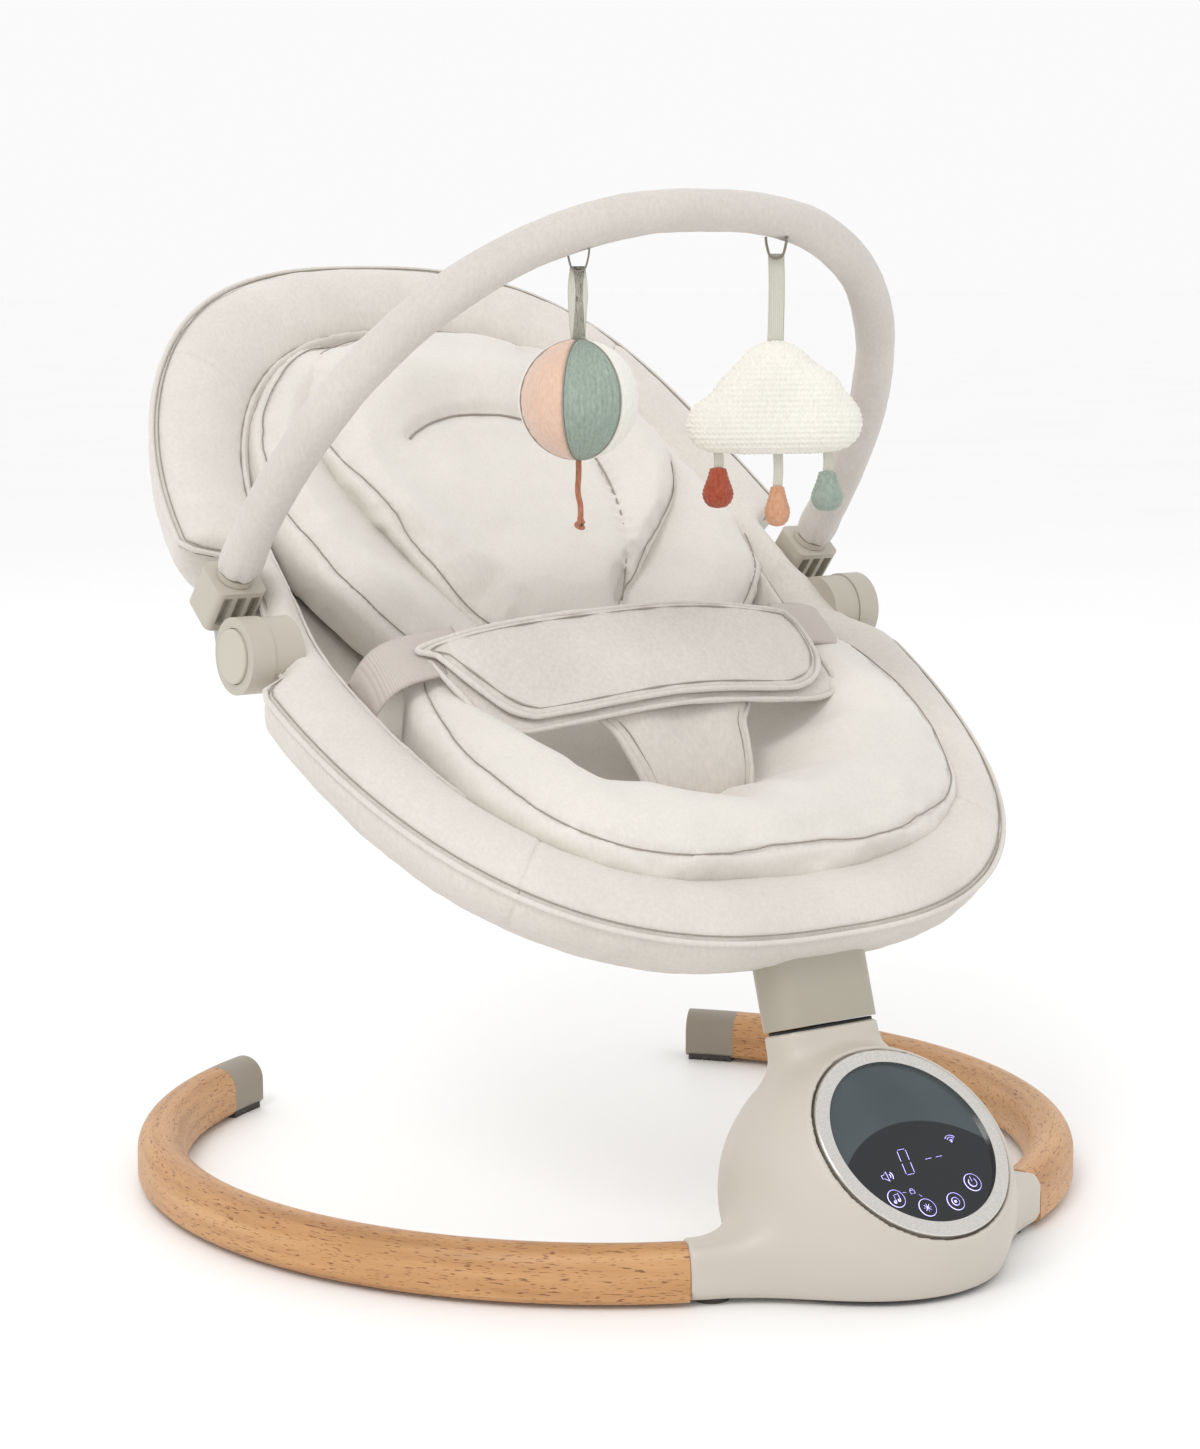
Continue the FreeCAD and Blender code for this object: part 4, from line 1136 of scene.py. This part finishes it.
def make_drops():
    """Three ribbed knitted drops, each on its own ribbon under the cloud."""
    top = arch_at(CLOUD_X)
    profile = ((1.2, 0.3), (4.6, -0.8), (5.4, -3), (6.2, -6), (7.6, -10), (9.0, -14), (9.2, -17.5),
               (7.8, -21.5), (5.0, -24.2), (1.5, -25.2))
    line = spline(profile, 60) * MM
    count = 72
    turns = np.linspace(0, 2 * math.pi, count, endpoint=False)
    lean = np.abs(np.sin(7 * turns))
    hang = -CLOUD_DROP - 33.4 * MM
    drops = (("left", -36, 3, RUST_KNIT, "rust_knit", 1.04),
             ("middle", 2, -9, PEACH_KNIT, "peach_knit", 0.86),
             ("right", 34, 0, SAGE_KNIT, "sage_knit", 1.08))
    for name, x, down, yarn, slot_name, fat in drops:
        start = np.array((x * MM, 0, hang))
        tip = np.array((x * MM, 0, hang + (down - 11) * MM))
        loops = []
        for r, z in line:
            rows = np.cos(2 * math.pi * (z / 0.0026) + 2.0 * lean)
            reach = r * fat + MM * (0.35 * lean ** 0.6 + 0.16 * rows - 0.25) * min(1, r / 0.004)
            ring = np.column_stack((reach * np.cos(turns), reach * 0.86 * np.sin(turns), np.full(count, z)))
            loops.append(ring + tip)
        points, faces = skin(loops)
        route = spline([start + (0, 0, 0.004), (start + tip) / 2 + (0.0006, 0, 0), tip - (0, 0, 0.001)], 14)
        tape_points, tape_faces = ribbon(route, 6 * MM, 0.9 * MM, (1, 0, 0))
        parts = [(points @ CLOUD_TURN.T + top, faces, 0), (tape_points @ CLOUD_TURN.T + top, tape_faces, 1)]
        drop = mesh_piece("drop_" + name + "_cloth", parts, [yarn, RIBBON])
        declare(drop, slot_name, "drop_" + name, "drop_" + name, fill=0.9)


# ---- pod
# Half profile of the bulb about the face's axis, as (radius, height over the face) in mm.
BULB = ((0, 6), (66, 6), (66.4, 0), (73, -9), (82, -24), (88, -44), (89, -60), (85, -82), (73, -104),
        (50, -121), (26, -129), (0, -131))


def polygon_field(points, p, q):
    """Signed distance from (p, q) samples to a closed polygon."""
    best = np.full(p.shape, 9.0)
    inside = np.zeros(p.shape, bool)
    for (ax, ay), (bx, by) in zip(points, np.roll(points, -1, axis=0)):
        ex, ey = bx - ax, by - ay
        t = np.clip(((p - ax) * ex + (q - ay) * ey) / (ex * ex + ey * ey + 1e-12), 0, 1)
        best = np.minimum(best, np.hypot(p - ax - t * ex, q - ay - t * ey))
        crosses = ((ay > q) != (by > q)) & (p < ex * (q - ay) / (ey + 1e-12) + ax)
        inside ^= crosses
    return np.where(inside, -best, best)


def rounded_box(p, q, half_p, half_q, corner):
    dp, dq = np.abs(p) - half_p + corner, np.abs(q) - half_q + corner
    return np.hypot(np.maximum(dp, 0), np.maximum(dq, 0)) + np.minimum(np.maximum(dp, dq), 0) - corner


def make_pod():
    step = 1.9 * MM
    low = np.array((-0.150, -0.375, -0.004))
    grid = grid_of(low, (0.150, -0.150, 0.150), step)
    face = (grid - (FACE[0] - SHIFT)) @ FACE[1]
    post = (grid - (POST[0] - SHIFT)) @ POST[1]
    outline = np.vstack((BULB[:2], spline(BULB[2:], 44))) * MM
    disc = np.hypot(face[..., 0], face[..., 1])
    bulb = polygon_field(outline, disc, face[..., 2])
    radius = np.hypot(grid[..., 0], grid[..., 1])
    arms = rounded_box(radius - HOOP_R, grid[..., 2] - 0.019, 0.015, 0.016, 0.0075)
    neck = rounded_box(post[..., 0], post[..., 1], 0.037, 0.017, 0.014)
    neck = np.maximum(neck, np.abs(post[..., 2] + 0.035) - 0.034)
    body = soft_min(bulb, neck, 0.012)
    body = soft_min(body, arms, 0.034)
    turn = np.abs(np.arctan2(grid[..., 0], -grid[..., 1]))
    body = np.maximum(body, (turn - math.radians(26)) * HOOP_R)
    body = np.maximum(body, 0.003 - grid[..., 2])
    body = np.maximum(body, post[..., 2] + 0.0011)
    body = np.maximum(body, -np.maximum(disc - 0.0639, -0.006 - face[..., 2]))
    body = np.maximum(body, face[..., 2] - 0.0006)
    hole = np.maximum(np.hypot(grid[..., 0] - 0.034, grid[..., 2] - 0.022) - 0.0056, -0.2 - grid[..., 1])
    body = np.maximum(body, -hole)
    points, faces = surface_net(body, low, step)
    piece = mesh_piece("pod_moulded_shell", [(points + SHIFT, faces, 0)], [POD])
    relax = piece.modifiers.new("relax", "CORRECTIVE_SMOOTH")
    relax.iterations = 4
    relax.use_only_smooth = True
    applied(piece)
    declare(piece, "pod_plastic", "base", "pod_shell")


def make_slit_shade_band():
    """Dark band inside the slit between the fixed and the swinging neck, painted shade of the gap."""
    loops = []
    turn = np.linspace(0, 2 * math.pi, 64, endpoint=False)
    for height, inset in ((-6, 3.2), (-1.0, 3.0), (0.2, 3.0), (0.7, 3.6)):
        x = (37 - inset) * signed_power(np.cos(turn), 0.4)
        y = (17 - inset) * signed_power(np.sin(turn), 0.55)
        loops.append(out_of(POST, np.column_stack((x, y, np.full(64, height))) * MM))
    # Painted shade: the dark band fills the slit where only the gap's shade would show.
    slit_shade = mesh_piece("slit_shade_band", [(*skin(loops), 0)], [DARK_MOULDING_AND_SLIT_SHADE])
    declare(slit_shade, "dark_plastic", "base")


# ---- lit legends
def stroke(path, width, closed=False):
    """Flat line of the display, in face millimetres."""
    path = [(x * MM, y * MM, 0) for x, y in path]
    return tube(out_of(FACE, np.array(path) - (0, 0, 0.0005)), width / 2 * MM, 6, closed, 0.35)


def circle(cx, cy, r, start=0, end=360, count=40):
    turn = np.radians(np.linspace(start, end, count, endpoint=(end - start) != 360))
    return [(cx + r * math.cos(a), cy + r * math.sin(a)) for a in turn]


def make_legends():
    lines = []
    left, right, low, high = -14.2, -8.0, -19.4, -3.0
    lean = 0.13
    mid = (low + high) / 2
    for a, b in (((left, high), (right, high)), ((left, low), (right, low)), ((left, high), (left, mid)),
                 ((right, high), (right, mid)), ((left, mid), (left, low)), ((right, mid), (right, low))):
        a, b = (np.array((x + lean * (y - mid), y)) for x, y in (a, b))
        lines.append(stroke([a + (b - a) * 0.1, a + (b - a) * 0.9], 0.55))
    for x in (5.4, 13.4):
        lines.append(stroke([(x - 2.2, -12.1), (x + 2.2, -12.1)], 0.55))
    for cx, cy in ((-30.5, -32.3), (-12.9, -41.7), (8.2, -41.7), (26.8, -32.4)):
        lines.append(stroke(circle(cx, cy, 5.7), 0.5, True))
    lines += [stroke(circle(-32.2, -34.2, 0.8), 0.7, True), stroke(circle(-29.0, -33.6, 0.8), 0.7, True),
              stroke([(-31.3, -34.0), (-31.3, -30.0), (-28.1, -29.2), (-28.1, -33.4)], 0.5)]
    for k in range(4):
        a = math.radians(45 * k)
        dx, dy = 2.6 * math.cos(a), 2.6 * math.sin(a)
        lines.append(stroke([(-12.9 - dx, -41.7 - dy), (-12.9 + dx, -41.7 + dy)], 0.45))
    lines += [stroke(circle(8.2, -41.7, 2.6), 0.5, True), stroke(circle(8.2, -41.7, 0.7), 0.8, True)]
    lines += [stroke(circle(26.8, -32.4, 2.8, 130, 410), 0.55), stroke([(26.8, -31.6), (26.8, -28.4)], 0.6)]
    speaker = ((-32.6, -18.9), (-31.0, -18.9), (-28.6, -21.0), (-28.6, -14.6), (-31.0, -16.6), (-32.6, -16.6))
    lines.append(stroke(speaker, 0.5, True))
    for r in (1.6, 3.2):
        lines.append(stroke(circle(-28.0, -17.8, r, -45, 45, 12), 0.45))
    for r in (1.5, 3.0, 4.4):
        lines.append(stroke(circle(27.8, -4.6, r, 35, 145, 14), 0.5))
    lines.append(stroke(circle(27.8, -4.4, 0.4), 0.7, True))
    lock = ((-19.0, -31.4), (-16.0, -31.4), (-16.0, -29.2), (-19.0, -29.2))
    lines += [stroke(lock, 0.35, True), stroke(circle(-17.5, -29.0, 1.0, 0, 180, 12), 0.3)]
    lines += [stroke([(-24.2, -29.4), (-21.8, -29.9)], 0.3), stroke([(-14.0, -32.6), (-12.6, -34.4)], 0.3)]
    piece = mesh_piece("panel_legends", [(p, f, 0) for p, f in lines], [LEGEND])
    declare(piece, "panel_glass", "base")


# ---- stage, light and camera
CAMERA_SENSOR, CAMERA_LENS = 36, 79.503
CAMERA_PLACE = (-1.1765, -1.657, 0.591)
CAMERA_AZIMUTH, CAMERA_DOWN = -35, 8.35


def make_stage():
    mesh = bpy.data.meshes.new("floor")
    mesh.from_pydata([(-40, -40, 0), (40, -40, 0), (40, 40, 0), (-40, 40, 0)], [], [(0, 1, 2, 3)])
    floor = linked(bpy.data.objects.new("floor", mesh))
    n = Nodes("pale_floor")
    tone = n.tones(n.noise(2.0, 2.0), ((0.3, (253, 253, 253)), (0.7, (255, 255, 255))))
    mesh.materials.append(n.finish(tone, 0.5))

    world = bpy.data.worlds.new("studio")
    world.use_nodes = True
    background = world.node_tree.nodes["Background"]
    background.inputs["Color"].default_value = (1.0, 1.0, 1.0, 1.0)
    background.inputs["Strength"].default_value = 0.96
    bpy.context.scene.world = world
    bpy.context.scene.view_settings.view_transform = "Standard"

    lights = ((-2.2, -1.2, 2.8, 1.2, 30), (0.6, 2.2, 2.6, 1.8, 8))
    for i, (x, y, z, size, power) in enumerate(lights):
        data = bpy.data.lights.new("soft_%d" % i, "AREA")
        data.size = size
        data.energy = power
        light = linked(bpy.data.objects.new("soft_%d" % i, data))
        light.location = (x, y, z)
        aim = Vector((0, 0, 0.3)) - light.location
        light.rotation_euler = aim.to_track_quat("-Z", "Y").to_euler()

    data = bpy.data.cameras.new("camera")
    data.sensor_width = CAMERA_SENSOR
    data.lens = CAMERA_LENS
    camera = linked(bpy.data.objects.new("camera", data))
    camera.location = CAMERA_PLACE
    camera.rotation_euler = (math.radians(90 - CAMERA_DOWN), 0, math.radians(CAMERA_AZIMUTH))
    bpy.context.scene.camera = camera


make_stage()
make_cover()
make_inserts()
make_band()
make_crotch_strap()
make_side_straps()
make_sleeve()
make_loops()
make_ball()
make_ball_strap()
make_ball_tail()
make_cloud()
make_drops()
make_pod()
make_slit_shade_band()
make_legends()
